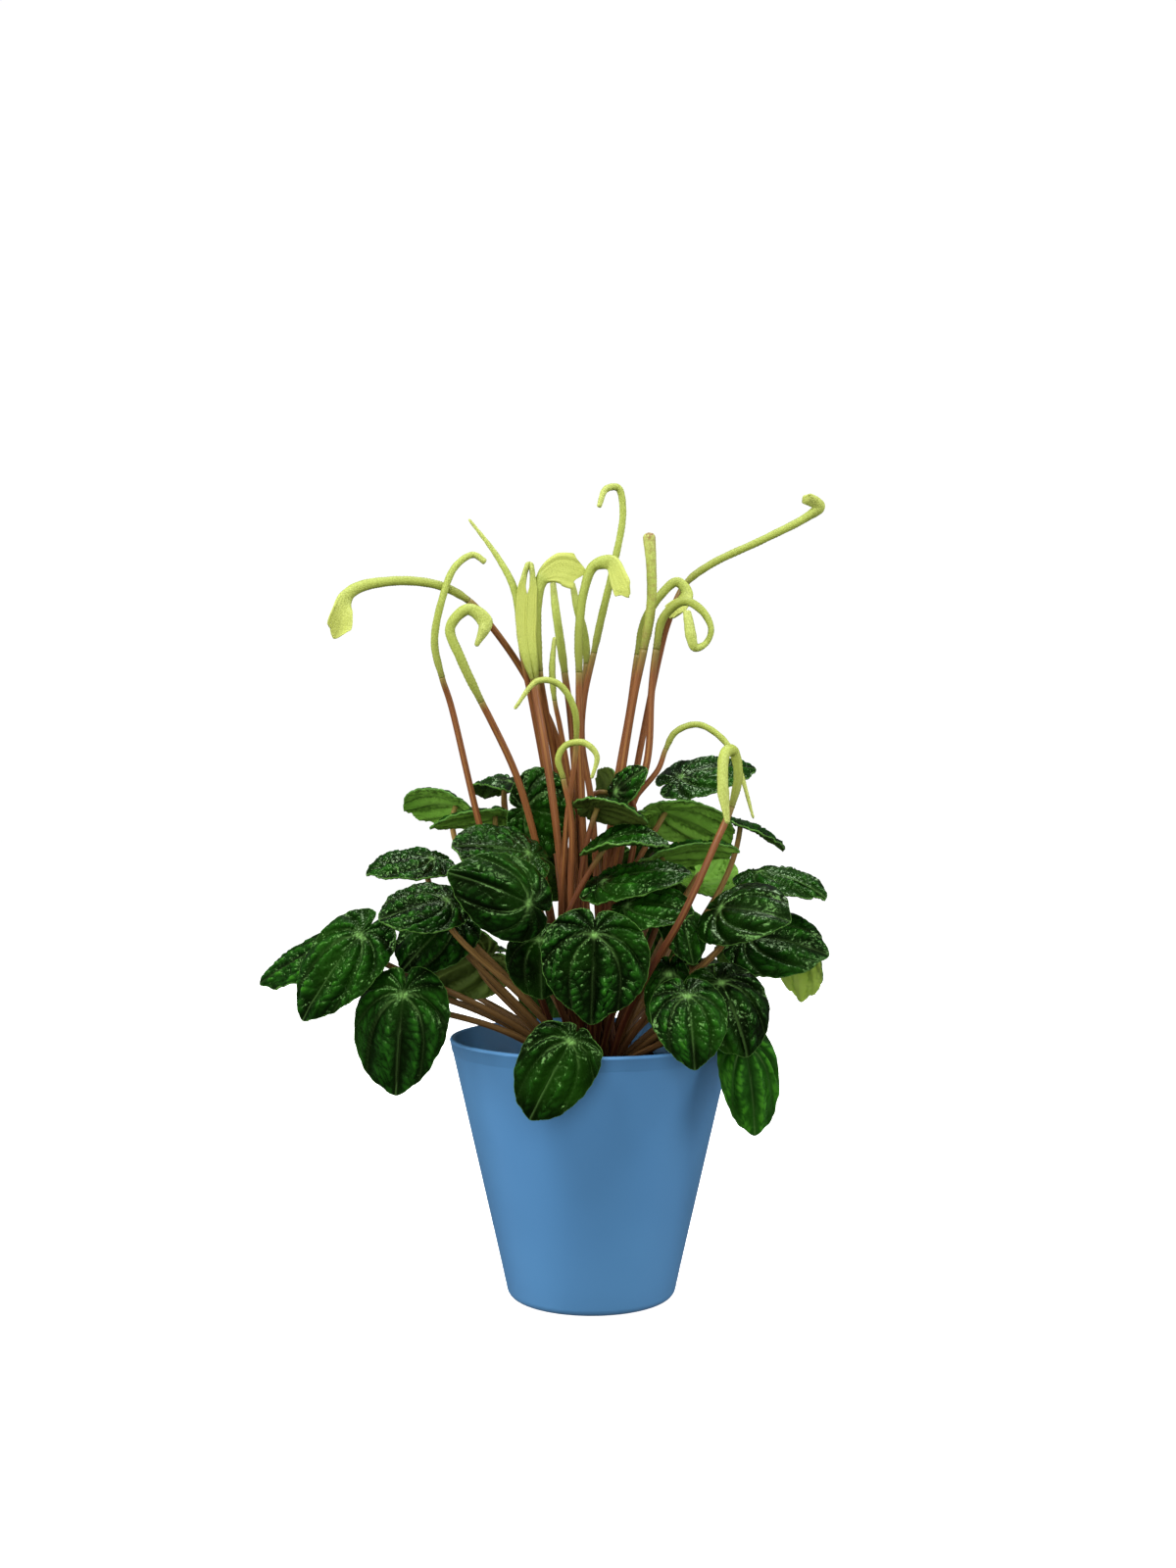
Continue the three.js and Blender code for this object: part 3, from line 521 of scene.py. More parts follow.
def add_node(tree, kind, inputs=None, stops=(), **settings):
    """Adds a shader node with its settings. inputs gives a socket, by name or number, its value, or the node
    or socket that feeds it. stops gives a colour ramp its places and hex codes."""
    node = tree.nodes.new(f"ShaderNode{kind}")
    for key, value in settings.items():
        setattr(node, key, value)
    for key, value in (inputs or {}).items():
        named = [s for s in node.inputs if s.enabled and s.name == key]
        socket = named[0] if named else node.inputs[key]
        if isinstance(value, bpy.types.Node):
            value = next(s for s in value.outputs if s.enabled)
        if isinstance(value, bpy.types.NodeSocket):
            tree.links.new(value, socket)
        else:
            socket.default_value = colour(value) if isinstance(value, str) else value
    for i, (place, code) in enumerate(stops):
        elements = node.color_ramp.elements
        element = elements[i] if i < len(elements) else elements.new(place)
        element.position = place
        element.color = colour(code)
    return node


def new_material(name):
    """An empty material, and the function that adds a node to it."""
    made = bpy.data.materials.new(name)
    made.use_nodes = True
    made.node_tree.nodes.clear()
    return made, partial(add_node, made.node_tree)


def marks_from(add):
    """The four marks that laid_grid kept for each point."""
    marks = add("Attribute", attribute_name="marks")
    split = add("SeparateColor", {"Color": marks.outputs["Color"]})
    return *split.outputs, marks.outputs["Alpha"]


# Materials


def leaf_upper():
    """Waxy upper skin of a leaf: deep green and glossy, with painted light and shade from its relief: painted
    shade darkens its creases, painted light lightens its pillow tops and raised parts, and each leaf's tone
    paints it lighter or darker. Its main veins are paler, partly their own paler green and partly a painted
    highlight along the groove edges, and it has a thin pale margin. Fine puckers about 1 mm across break its
    gloss into small glints, less so on smooth leaves."""
    made, add = new_material("leaf_waxy_upper")
    where = add("TexCoord").outputs["Object"]
    vein, rim, height, quilt = marks_from(add)
    patches = add("TexNoise", {"Vector": where, "Scale": 1 / (9 * MM), "Detail": 3.0})
    drift = add("TexNoise", {"Vector": where, "Scale": 1 / (24 * MM), "Detail": 1.0})
    # painted light and shade: height holds the blade's painted relief light, pillow tops lighter and creases
    # near black, plus each leaf's painted tone
    depth = add("Math", {0: patches, 1: 0.3}, operation="MULTIPLY")
    depth = add("Math", {0: depth, 1: height}, operation="ADD")
    green = add(
        "ValToRGB", {"Fac": depth},
        stops=[(0.3, "#010400"), (0.45, "#041202"), (0.6, "#0A2605"), (0.8, "#163F0B"), (1.0, "#306816")],
    )
    shade = add("MapRange", {"Value": drift, "From Min": 0.45, "From Max": 0.7, "To Max": 0.3})
    green = add("Mix", {"Factor": shade, "A": green, "B": "#1E4C0A"}, data_type="RGBA")
    # pale veins: partly the veins' own paler green, partly a painted highlight along the groove edges
    green = add("Mix", {"Factor": vein, "A": green, "B": "#6E9A50"}, data_type="RGBA")
    edge = add("Math", {0: rim, 1: 0.55}, operation="MULTIPLY")
    green = add("Mix", {"Factor": edge, "A": green, "B": "#5C8A3C"}, data_type="RGBA")
    pucker = add("TexVoronoi", {"Vector": where, "Scale": 1 / (1.2 * MM)}, feature="SMOOTH_F1")
    quilted = add("MapRange", {"Value": quilt, "To Min": 0.1})
    bump = add("Bump", {"Height": pucker, "Strength": quilted, "Distance": 0.3 * MM}, invert=True)
    rough = add("MapRange", {"Value": patches, "To Min": 0.2, "To Max": 0.32})
    shader = add(
        "BsdfPrincipled",
        {
            "Base Color": green, "Roughness": rough, "Normal": bump,
            "Specular IOR Level": 0.6, "Specular Tint": "#8CC86A", "IOR": 1.45,
        },
    )
    add("OutputMaterial", {"Surface": shader})
    return made


def leaf_under(kind):
    """Dull underside of a leaf, cloudy from one green to another, with its veins raised. Its kinds are shaded
    and lit copies, with painted shade and painted light. On young leaves the pale green is painted lighter,
    as if light shone through, and the veins show darker, on old ones they are the paler lines."""
    made, add = new_material(f"leaf_matte_underside_{kind}")
    low, high, veins = UNDERSIDES[kind]
    where = add("TexCoord").outputs["Object"]
    vein, *_ = marks_from(add)
    patches = add("TexNoise", {"Vector": where, "Scale": 1 / (12 * MM), "Detail": 3.0})
    green = add("ValToRGB", {"Fac": patches}, stops=[(0.3, low), (0.7, high)])
    green = add("Mix", {"Factor": vein, "A": green, "B": veins}, data_type="RGBA")
    fine = add("TexNoise", {"Vector": where, "Scale": 1 / (1.2 * MM), "Detail": 2.0})
    bump = add("Bump", {"Height": fine, "Strength": 0.6, "Distance": 0.15 * MM})
    shader = add(
        "BsdfPrincipled",
        {"Base Color": green, "Roughness": 0.55, "Normal": bump, "Specular IOR Level": 0.1},
    )
    add("OutputMaterial", {"Surface": shader})
    return made


def stalk_skin(kind):
    """Smooth skin of a fleshy stalk, streaked lengthwise. It is dark at the crown and lighter further up.
    Stalks in the middle of the plant are painted red brown for their shade and those at its sides tan for the
    light they get, painted shade and painted light, and all turn green at their end."""
    made, add = new_material(f"{kind}_skin")
    red, tan, streak = STALK_SKINS[kind]
    coords = add("TexCoord")
    along, sunlit, tone, _ = marks_from(add)
    stretch = add("Mapping", {"Vector": coords.outputs["UV"], "Scale": (9, 2.5, 1)})
    lines = add("TexNoise", {"Vector": stretch, "Scale": 1.0, "Detail": 3.0})
    height = add("SeparateXYZ", {"Vector": coords.outputs["Object"]}).outputs["Z"]
    rise = add("MapRange", {"Value": height, "From Min": 85 * MM, "From Max": 190 * MM})
    inner = add("ValToRGB", {"Fac": rise}, stops=list(zip((0.0, 0.45, 1.0), red)))
    outer = add("ValToRGB", {"Fac": rise}, stops=list(zip((0.0, 0.35, 1.0), tan)))
    # painted light and shade: stalks at the plant's sides painted lighter tan for the light they get, those
    # in its middle dark red for their shade
    skin = add("Mix", {"Factor": sunlit, "A": inner, "B": outer}, data_type="RGBA")
    dark = add(
        "MapRange",
        {"Value": lines, "From Min": 0.3, "From Max": 0.48, "To Min": 0.35, "To Max": 0.0},
    )
    skin = add("Mix", {"Factor": dark, "A": skin, "B": red[0]}, data_type="RGBA")
    share = add("MapRange", {"Value": lines, "From Min": 0.46, "From Max": 0.7, "To Max": 0.5})
    share = add("Math", {0: share, 1: tone}, operation="MULTIPLY")
    skin = add("Mix", {"Factor": share, "A": skin, "B": streak}, data_type="RGBA")
    near_end = add("MapRange", {"Value": along, "From Min": 0.88, "To Max": 0.7})
    skin = add("Mix", {"Factor": near_end, "A": skin, "B": "#78743A"}, data_type="RGBA")
    bump = add("Bump", {"Height": lines, "Strength": 0.3, "Distance": 0.2 * MM})
    shader = add(
        "BsdfPrincipled",
        {"Base Color": skin, "Roughness": 0.42, "Normal": bump, "Specular IOR Level": 0.3},
    )
    add("OutputMaterial", {"Surface": shader})
    return made


def spike_flesh():
    """Flower spike: pale yellow-green flesh set with tiny florets, which show as fine dark pits about 0.6 mm
    apart. It is browner at its foot and smoother on a crest, and a dry tip has brown specks."""
    made, add = new_material("spike_floret_flesh")
    where = add("TexCoord").outputs["Object"]
    along, dry, crest, _ = marks_from(add)
    flesh = add(
        "ValToRGB", {"Fac": along},
        stops=[(0.0, "#66602E"), (0.05, "#767C34"), (0.25, "#8E9A42"), (0.6, "#9FAC50"), (1.0, "#ADB662")],
    )
    flesh = add("Mix", {"Factor": crest, "A": flesh, "B": "#ABB356"}, data_type="RGBA")
    florets = add("TexVoronoi", {"Vector": where, "Scale": 1 / (0.62 * MM)})
    pit = add("MapRange", {"Value": florets, "From Min": 0.3, "From Max": 0.65, "To Max": 0.5})
    smoothness = add("MapRange", {"Value": crest, "To Min": 1.0, "To Max": 0.35})
    pit = add("Math", {0: pit, 1: smoothness}, operation="MULTIPLY")
    flesh = add("Mix", {"Factor": pit, "A": flesh, "B": "#767F28"}, data_type="RGBA")
    specks = add("TexNoise", {"Vector": where, "Scale": 1 / (1.4 * MM), "Detail": 2.0})
    speck = add("MapRange", {"Value": specks, "From Min": 0.42, "From Max": 0.6})
    speck = add("Math", {0: speck, 1: dry}, operation="MULTIPLY")
    flesh = add("Mix", {"Factor": speck, "A": flesh, "B": "#7A5A34"}, data_type="RGBA")
    bump = add("Bump", {"Height": florets, "Strength": 0.8, "Distance": 0.15 * MM}, invert=True)
    shader = add(
        "BsdfPrincipled",
        {"Base Color": flesh, "Roughness": 0.5, "Normal": bump, "Specular IOR Level": 0.4},
    )
    add("OutputMaterial", {"Surface": shader})
    return made


def pot_plastic():
    """Injection-moulded polypropylene: satin blue with a very fine grain and slightly uneven gloss."""
    made, add = new_material("pot_moulded_polypropylene")
    where = add("TexCoord").outputs["Object"]
    cloud = add("TexNoise", {"Vector": where, "Scale": 1 / (60 * MM), "Detail": 2.0})
    blue = add("ValToRGB", {"Fac": cloud}, stops=[(0.3, "#45749F"), (0.7, "#4A7BA6")])
    fine = add("TexNoise", {"Vector": where, "Scale": 1 / (0.5 * MM), "Detail": 2.0})
    bump = add("Bump", {"Height": fine, "Strength": 0.15, "Distance": 0.05 * MM})
    rough = add("MapRange", {"Value": cloud, "To Min": 0.4, "To Max": 0.5})
    shader = add("BsdfPrincipled", {"Base Color": blue, "Roughness": rough, "Normal": bump, "IOR": 1.49})
    add("OutputMaterial", {"Surface": shader})
    return made


def potting_soil():
    """Damp peat compost: near-black brown crumbs with lighter fibres, dull all over."""
    made, add = new_material("soil_damp_peat")
    where = add("TexCoord").outputs["Object"]
    crumbs = add("TexNoise", {"Vector": where, "Scale": 1 / (2.2 * MM), "Detail": 5.0})
    brown = add(
        "ValToRGB", {"Fac": crumbs},
        stops=[(0.35, "#150E0A"), (0.55, "#2C2018"), (0.75, "#4A3727")],
    )
    bump = add("Bump", {"Height": crumbs, "Strength": 1.0, "Distance": 0.8 * MM})
    shader = add(
        "BsdfPrincipled",
        {"Base Color": brown, "Roughness": 0.92, "Normal": bump, "Specular IOR Level": 0.1},
    )
    add("OutputMaterial", {"Surface": shader})
    return made


# Leaves


def leaf_axes(leaf):
    """Where a blade starts, the ways ahead, across and up from its upper side, and its length."""
    origin = vec(leaf.at)
    chord = vec(leaf.tip) - origin
    length = np.linalg.norm(chord)
    ahead = chord / length
    faces = vec(leaf.faces)
    up = unit(faces - ahead * (faces @ ahead))
    return origin, ahead, np.cross(up, ahead), up, length


def margin_table(leaf):
    """The margin's reach for turns of 0 to 180 degrees, its corners rounded off, down into the notch."""
    fine = np.arange(-180, 361)
    mirrored = 180 - np.abs(180 - np.abs(fine))
    blunt = 1 - leaf.point
    reaches = [blunt, *(min(reach, blunt) for reach in MARGIN.values()), leaf.sinus]
    level = np.interp(mirrored, [0, *MARGIN, 180], reaches)
    level *= np.interp(mirrored, LOBES, [1, leaf.lobes])
    window = np.hanning(MARGIN_SOFTENING)
    return np.convolve(level, window / window.sum(), mode="same")[180:361]


def blade_reach(turn, side, number, table, point):
    """Distance from the petiole to the margin, as a share of the length, for a turn in degrees."""
    waver = WAVER.depth * np.sin(WAVER.shift * number + turn / WAVER.degrees * side)
    beat = np.radians(turn) * SCALLOP.count
    waver += SCALLOP.depth * np.sin(beat + number) * np.sin(SCALLOP.beat * beat + side * number)
    tip = point * np.exp(-(turn / TIP_SPREAD) ** 2)
    return (1 + waver * eased(0, WAVER.calm, turn)) * np.interp(turn, np.arange(181), table) + tip


def sheet_outline(number, table, point):
    """The margin seen from the middle of the sheet: directions in degrees and distances, around once."""
    turns = np.linspace(-180, 180, 361)
    reach = blade_reach(np.abs(turns), np.sign(turns), number, table, point)
    s = reach * np.cos(np.radians(turns)) - BLADE_MIDDLE
    t = reach * np.sin(np.radians(turns))
    directions = np.degrees(np.arctan2(t, s))
    order = np.argsort(directions)
    return directions[order], np.hypot(s, t)[order]


def vein_bearing(turn, share):
    """Bearing from the petiole, in degrees, at a share of the way out along the line that ends at turn."""
    start = 180 * (turn / 180) ** VEIN_ARCH.spread
    return turn + (start - turn) * (1 - share) ** VEIN_ARCH.ease


def vein_place(s, t, side, number, table, point):
    """Which vein line a point lies on, as the turn at which that line meets the margin, and how far out it
    lies as a share. s and t are in blade lengths."""
    bearing = np.degrees(np.arctan2(np.abs(t), s))
    radius = np.hypot(s, t)
    low = np.zeros_like(s)
    high = np.full_like(s, 180.0)
    for _ in range(VEIN_SEARCH):
        turn = (low + high) / 2
        share = np.clip(radius / blade_reach(turn, side, number, table, point), 0, 1)
        beyond = vein_bearing(turn, share) > bearing
        high = np.where(beyond, turn, high)
        low = np.where(beyond, low, turn)
    return turn, share


def vein_ends(number, side):
    """Where the veins of one half of a blade end, a little different on each leaf."""
    step = np.arange(len(VEIN_ENDS))
    inner = (step > 0) & (step < len(VEIN_ENDS) - 1)
    return VEIN_ENDS + inner * VEIN_WOBBLE * shifted(ENDS_SHIFT, number, step, side)


def pillows(points, seed):
    """Rounded pillows on a unit raster, 1 on their tops and 0 along the creases between them."""
    shift = Vector([seed * step for step in PILLOW_SHIFT])
    near = np.array([noise.voronoi(Vector(p) + shift)[0][:2] for p in points])
    return np.sqrt(np.clip((near[:, 1] - near[:, 0]) / PILLOW.gap, 0, 1))


def blade_relief(number, quilt, length, turn, side, share, s, t):
    """Height of the quilted surface over the blade's plain form, how near a point is to a main vein, and how
    high it lies on its pillow."""
    steps = np.arange(len(VEIN_ENDS))
    left, right = vein_ends(number, -1), vein_ends(number, 1)
    ray = np.where(side < 0, np.interp(turn, left, steps), np.interp(turn, right, steps))
    ridge = np.abs((ray + 1) % 2 - 1)
    row = np.floor(ray / 2 + 0.5)
    swell = RIDGE.height * length * np.interp(share, *RIDGE_OUTWARDS) * np.interp(turn, *RIDGE_AROUND)
    band = RIDGE.mean + RIDGE.swing * shifted(RIDGE_SHIFT, number, np.floor(ray), side)
    roundness = 2 * np.sin(math.pi / 2 * ridge) ** RIDGE.roundness - 1
    relief = blend(RIDGE.smooth, 1, quilt) * swell * band * roundness

    radius = np.hypot(s, t)
    vein_turn = np.where(side < 0, np.interp(2 * row, steps, left), np.interp(2 * row, steps, right))
    off = np.abs(np.degrees(np.arctan2(np.abs(t), s)) - vein_bearing(vein_turn, share))
    aside = radius * np.sin(np.radians(np.clip(off, 0, 90)))
    vein = np.exp(-(aside / CREASE.width) ** 2)
    deep = eased(0, CREASE.full, radius)
    relief -= CREASE.depth * vein * deep * np.where(row == 0, CREASE.midrib, 1)

    raster = columns(radius / PILLOW.along, aside / PILLOW.aside, PILLOW.cut)
    raster[:, 0] -= PILLOW.slant * aside
    raster[:, 1] += PILLOW.vein * row + PILLOW.half * side
    dome = pillows(raster, number)
    room = eased(*PILLOW_ROOM.aside, aside) * eased(*PILLOW_ROOM.out, share) * blend(0.5, 1, ridge)
    relief += quilt * PILLOW.height * (dome - 0.5) * room
    flat = columns(s, t, side * PUCKER.half)
    relief += PUCKER.height * quilt * grain(flat, PUCKER.size, number) * room
    dents = grain(flat, COCKLE.size, number + COCKLE.seed)
    relief += length * COCKLE.height * dents * (COCKLE.inner + eased(*COCKLE.outer, share))
    relief *= 1 - MARGIN_CALM.share * eased(MARGIN_CALM.start, 1, share)
    return relief, vein, dome * room


def vein_paleness(vein, turn, share, s, t):
    """How pale the skin is: side veins most, the midrib less, and a spot where the petiole ends. The pale
    lines along the veins are partly their own paler green and partly a painted highlight along the groove
    edges.
    """
    lateral = eased(*SIDE_VEIN.start, turn) * (1 - eased(*SIDE_VEIN.stop, turn))
    lateral = (SIDE_VEIN.least + SIDE_VEIN.pale * lateral) * np.interp(share, *SIDE_VEIN_OUTWARDS)
    midrib = MIDRIB.pale * (1 - eased(*MIDRIB.stop, turn)) * eased(*MIDRIB.out, share)
    spot = PALE_SPOT.pale * np.exp(-((s * s + t * t) / PALE_SPOT.size))
    return vein * (lateral + midrib) + spot


def square_turn(x, y):
    """Turn in radians about the middle of a square grid, even along each of its square rings."""
    wide = np.abs(x) >= np.abs(y)
    big, small = np.where(wide, x, y), np.where(wide, y, x)
    lean = math.pi / 4 * small / np.where(big == 0, 1, big)
    return np.where(wide, lean, math.pi / 2 - lean) + np.where(big < 0, math.pi, 0)


def blade(leaf, number, skins):
    """One leaf blade: a heart-shaped sheet, rippled and given its thickness. Square rings of its grid become
    rings of the blade, from its middle out to its margin."""
    origin, ahead, across, up, length = leaf_axes(leaf)
    breadth = leaf.width / (NATURAL_WIDTH * length)
    table = margin_table(leaf)
    directions, distances = sheet_outline(number, table, leaf.point)
    cells = 2 * round((length + leaf.width) / 4 / BLADE_CELL)

    def place(u, v):
        x, y = 2 * u - 1, 2 * v - 1
        ring = np.maximum(np.abs(x), np.abs(y))
        rim = ring > 1 - 1 / cells
        share_out = np.where(rim, 1, ring * PALE_RIM / (1 - 2 / cells))
        turn = square_turn(x, y)
        turn = turn - CROWDING * np.sin(2 * turn)
        turn = np.degrees(np.arctan2(np.sin(turn), np.cos(turn)))
        far = share_out * np.interp(turn, directions, distances, period=360)
        s0 = BLADE_MIDDLE + far * np.cos(np.radians(turn))
        t0 = far * np.sin(np.radians(turn))
        side = np.where(t0 < 0, -1, 1)
        vein_turn, share = vein_place(s0, t0, side, number, table, leaf.point)
        s, t = s0 * length, t0 * length * breadth
        rise = 4 * leaf.bow * s0 * (1 - s0) + leaf.cup * (2 * t / leaf.width) ** 2
        relief, vein, dome = blade_relief(number, leaf.quilt, length, vein_turn, side, share, s, t)
        points = origin + np.outer(s, ahead) + np.outer(t, across) + np.outer(rise + relief, up)
        pale = vein_paleness(vein, vein_turn, share, s, t)
        # painted light and shade: pillow tops and raised relief painted lighter, creases darker, with the
        # leaf's painted tone on top
        painted_relief_light = np.clip(0.5 + relief / (PAINTED_RELIEF_LIGHT.span * length), 0, 1)
        light = PAINTED_RELIEF_LIGHT.dome * dome + PAINTED_RELIEF_LIGHT.relief * painted_relief_light + leaf.tone
        return points, columns(pale, rim, light, leaf.quilt)

    sheet = laid_grid("blade", cells, cells, place)
    middle = sheet.data.polygons[len(sheet.data.polygons) // 2 + cells // 2]
    if Vector(up).dot(middle.normal) < 0:
        sheet.data.flip_normals()
    for skin in skins:
        sheet.data.materials.append(skin)
    apply_modifier(
        sheet, "SOLIDIFY",
        thickness=BLADE_THICKNESS * MM, offset=0, material_offset=1, material_offset_rim=0,
    )
    return sheet


def leaves():
    upper = leaf_upper()
    under = {kind: leaf_under(kind) for kind in UNDERSIDES}
    for index, group in enumerate(LEAVES):
        name = f"leaf_{index + 1:02d}"
        blades = [
            blade(leaf, index + len(LEAVES) * twin, [upper, under[leaf.under]])
            for twin, leaf in enumerate(group)
        ]
        dressed(joined(f"{name}_blade", blades), "leaf", [], name)


# Stalks and spikes


def catmull_rom(knots, shares):
    """Points of the centripetal curve through knots at shares (0 to 1) of its way, knot by knot."""
    knots = vec(knots)
    full = np.vstack([2 * knots[0] - knots[1], knots, 2 * knots[-1] - knots[-2]])
    place = np.clip(shares, 0, 1) * (len(knots) - 1)
    first = np.minimum(place.astype(int), len(knots) - 2)
    w = (place - first)[:, None]
    p0, p1, p2, p3 = (full[first + k] for k in range(4))
    pairs = ((p0, p1), (p1, p2), (p2, p3))
    d0, d1, d2 = (np.linalg.norm(b - a, axis=1, keepdims=True) ** 0.5 for a, b in pairs)
    m1 = d1 * ((p1 - p0) / d0 - (p2 - p0) / (d0 + d1) + (p2 - p1) / d1)
    m2 = d1 * ((p2 - p1) / d1 - (p3 - p1) / (d1 + d2) + (p3 - p2) / d2)
    return p1 + m1 * w + (3 * (p2 - p1) - 2 * m1 - m2) * w ** 2 + (2 * (p1 - p2) + m1 + m2) * w ** 3


def crown_top(radius):
    return SOIL_TOP + CROWN.tall * (1 - (radius / CROWN.radius) ** 2)


def root_of(target):
    """Where a stalk leaves the crown: on its own side, further out the lower it goes."""
    radius = min(max((ROOT.level - target[2]) / ROOT.slope, ROOT.inner), ROOT.outer)
    return around(radius, math.atan2(target[1], target[0]), crown_top(radius) - ROOT.buried)


def tube(name, path, sides, section):
    """A closed tube along a path of points. section(share, turn, closing) gives how far its skin lies aside,
    across and ahead of the path, and its marks. closing is true on the two end rows that close the tube."""
    rings = len(path)
    tangents = unit(np.gradient(path, axis=0))
    asides = np.empty_like(path)
    aside = np.cross(tangents[0], [0, 1, 0])
    for i, tangent in enumerate(tangents):
        aside = unit(aside - tangent * (aside @ tangent))
        asides[i] = aside
    acrosses = np.cross(tangents, asides)

    def place(u, v):
        row = np.round(v * (rings + 1)).astype(int)
        ring = np.clip(row - 1, 0, rings - 1)
        closing = (row == 0) | (row == rings + 1)
        out, over, on, marks = section(ring / (rings - 1), 2 * math.pi * u, closing)
        points = path[ring] + asides[ring] * out[:, None] + acrosses[ring] * over[:, None]
        return points + tangents[ring] * on[:, None], marks

    return laid_grid(name, sides, rings + 1, place)


def stalk(name, path, foot, end, sunlit, tone):
    """A fleshy stalk, a little ribbed, flared where it leaves the crown."""
    def section(share, turn, closing):
        radius = blend(foot, end, share) * (1 + FLARE.wide * np.exp(-share * FLARE.ease))
        broad = BROAD_RIBS.height * np.sin(BROAD_RIBS.count * turn + BROAD_RIBS.shift * tone)
        fine = FINE_RIBS.height * np.sin(FINE_RIBS.count * turn + FINE_RIBS.twist * share)
        radius = np.where(closing, 0, radius * (1 + broad + fine))
        marks = columns(share, sunlit, tone)
        return radius * np.cos(turn), radius * np.sin(turn), np.zeros_like(share), marks

    return tube(name, path, STALK_SIDES, section)


def petiole(leaf, tone):
    """A leaf's stalk: it rises from the crown, swings over and meets the blade's underside square on."""
    origin, ahead, _, up, length = leaf_axes(leaf)
    square = unit(up - ahead * 4 * leaf.bow / length)
    end = origin + ahead * PETIOLE.seat - square * PETIOLE.sunk
    root = root_of(origin)
    span = np.linalg.norm(end - root)
    lean = min(1, PETIOLE.lean * np.hypot(*(end - root)[:2]) / (end - root)[2])
    out = unit(np.append(unit(root[:2]) * lean, 1))
    bend = vec(leaf.bend)
    rise = root + out * span * PETIOLE.rise + bend
    drop = end - square * span * PETIOLE.drop + bend
    w = np.linspace(0, 1, PETIOLE.rings)[:, None]
    bars = enumerate(zip([1, 3, 3, 1], [root, rise, drop, end]))
    path = sum(c * (1 - w) ** (3 - k) * w ** k * p for k, (c, p) in bars)
    # painted light: petioles further from the middle are painted lighter tan
    sunlit = float(eased(*SUNLIT, abs(leaf.at[0])))
    return stalk("petiole", path, PETIOLE.foot, PETIOLE.end, sunlit, tone)


def spike_route(spike):
    """The knots of a flower stalk and its spike, and the share of them where the spike starts."""
    knots = [root_of(spike.stem[0]), *spike.stem, *spike.head]
    return knots, (len(spike.stem) + 1) / (len(knots) - 1)


def peduncle(spike, tone):
    knots, foot = spike_route(spike)
    path = catmull_rom(knots, np.linspace(0, foot, PEDUNCLE.rings))
    return stalk("peduncle", path, PEDUNCLE.foot, spike.girth[0] * PEDUNCLE.neck, 0.0, tone)


def crown():
    """The short stock between the stalks, lumpy with old stalk scars."""
    def place(u, v):
        radius = np.sin(v * math.pi / 2) * CROWN.radius
        skirt = v > CROWN_SKIN.skirt_from
        height = np.where(skirt, SOIL_TOP - CROWN_SKIN.skirt, crown_top(radius))
        points = around(radius, 2 * math.pi * u, height)
        lumps = CROWN_SKIN.lump * grain(points, CROWN_SKIN.lump_size)
        points[:, 2] += lumps * (1 - v) - CROWN_SKIN.sunk
        return points, columns(np.zeros_like(u), 0, 0.5)

    return laid_grid("crown", 48, 20, place)


def stalks():
    draw = np.random.default_rng(7)
    petioles = [petiole(leaf, draw.uniform(*STALK_TONES)) for group in LEAVES for leaf in group]
    peduncles = [peduncle(spike, draw.uniform(*STALK_TONES)) for group in SPIKES for spike in group]
    for piece, kind in (
        (joined("petioles", petioles), "petiole_streaked"),
        (joined("peduncles", peduncles), "peduncle_streaked"),
        (crown(), "crown_scarred"),
    ):
        dressed(face_out(piece), "stalk", [stalk_skin(kind)], "stalks")


def flower_spike(spike, strand=0):
    """A fleshy rod set with florets, flattened and corrugated where it widens into a crest. strand is -1 or 1
    for either half of one that parts into a hairpin."""
    knots, foot = spike_route(spike)
    rough = catmull_rom(knots, np.linspace(foot, 1, 80))
    length = np.linalg.norm(np.diff(rough, axis=0), axis=1).sum()
    path = catmull_rom(knots, np.linspace(foot, 1, int(length / SPIKE.ring_step) + 2))
    girth_places = np.linspace(0, 1, len(spike.girth))
    end_wide = spike.girth[-1]
    flat_end = end_wide > CREST.start

    def section(share, turn, closing):
        wide = SPIKE.slimming * np.interp(share, girth_places, spike.girth)
        wide = wide * blend(SPIKE.foot, 1, eased(0, SPIKE.foot_length, share * length))
        thick = np.minimum(wide, SPIKE.fullness / wide)
        crest = eased(CREST.start, CREST.full, wide)
        across_share = np.cos(turn)
        floret = np.cos(FLORET.rows * turn) * np.cos(2 * math.pi * share * length / FLORET.step)
        skin = 1 + FLORET.relief / wide * floret * (1 - crest)
        end = np.clip((share - 1) * length / end_wide + 1, 0, 1)
        if flat_end:
            width_end = 1 - CREST_END.corners * end ** 4
            thick_end = 1 - CREST_END.thinning * end
        else:
            width_end = thick_end = np.sqrt(1 - SPIKE.round_end * end ** 2)
        out = wide * across_share * skin * width_end
        if strand:
            start, stop = spike.gap
            opened = eased(start, start + STRAND.opens, share) * eased(0, STRAND.closes, stop - share)
            half = (STRAND.width - STRAND.narrowing * opened) * across_share * skin
            out = wide * width_end * (half + strand * (STRAND.aside + STRAND.opening * opened))
        out = np.where(closing & ((share < 0.5) | (not flat_end)), 0, out)
        ribs = np.sin(2 * math.pi * CREST.ribs * across_share + CREST.drift * share)
        over = np.where(closing, 0, thick * np.sin(turn) * skin * thick_end)
        over += crest * (CREST.rib_depth * ribs + spike.fold * wide * across_share ** 2)
        ragged = spike.lobes * np.sin(CREST_END.wave * across_share + CREST_END.shift)
        ragged = ragged - CREST_END.rounding * across_share ** 2
        on = crest * ragged * eased(CREST_END.start, 1, share)
        dry = spike.dry * blend(DRY.all_over, 1, eased(*DRY.tip, share))
        return out, over, on, columns(share, dry, crest)

    return tube("flower_spike", path, SPIKE.sides, section)


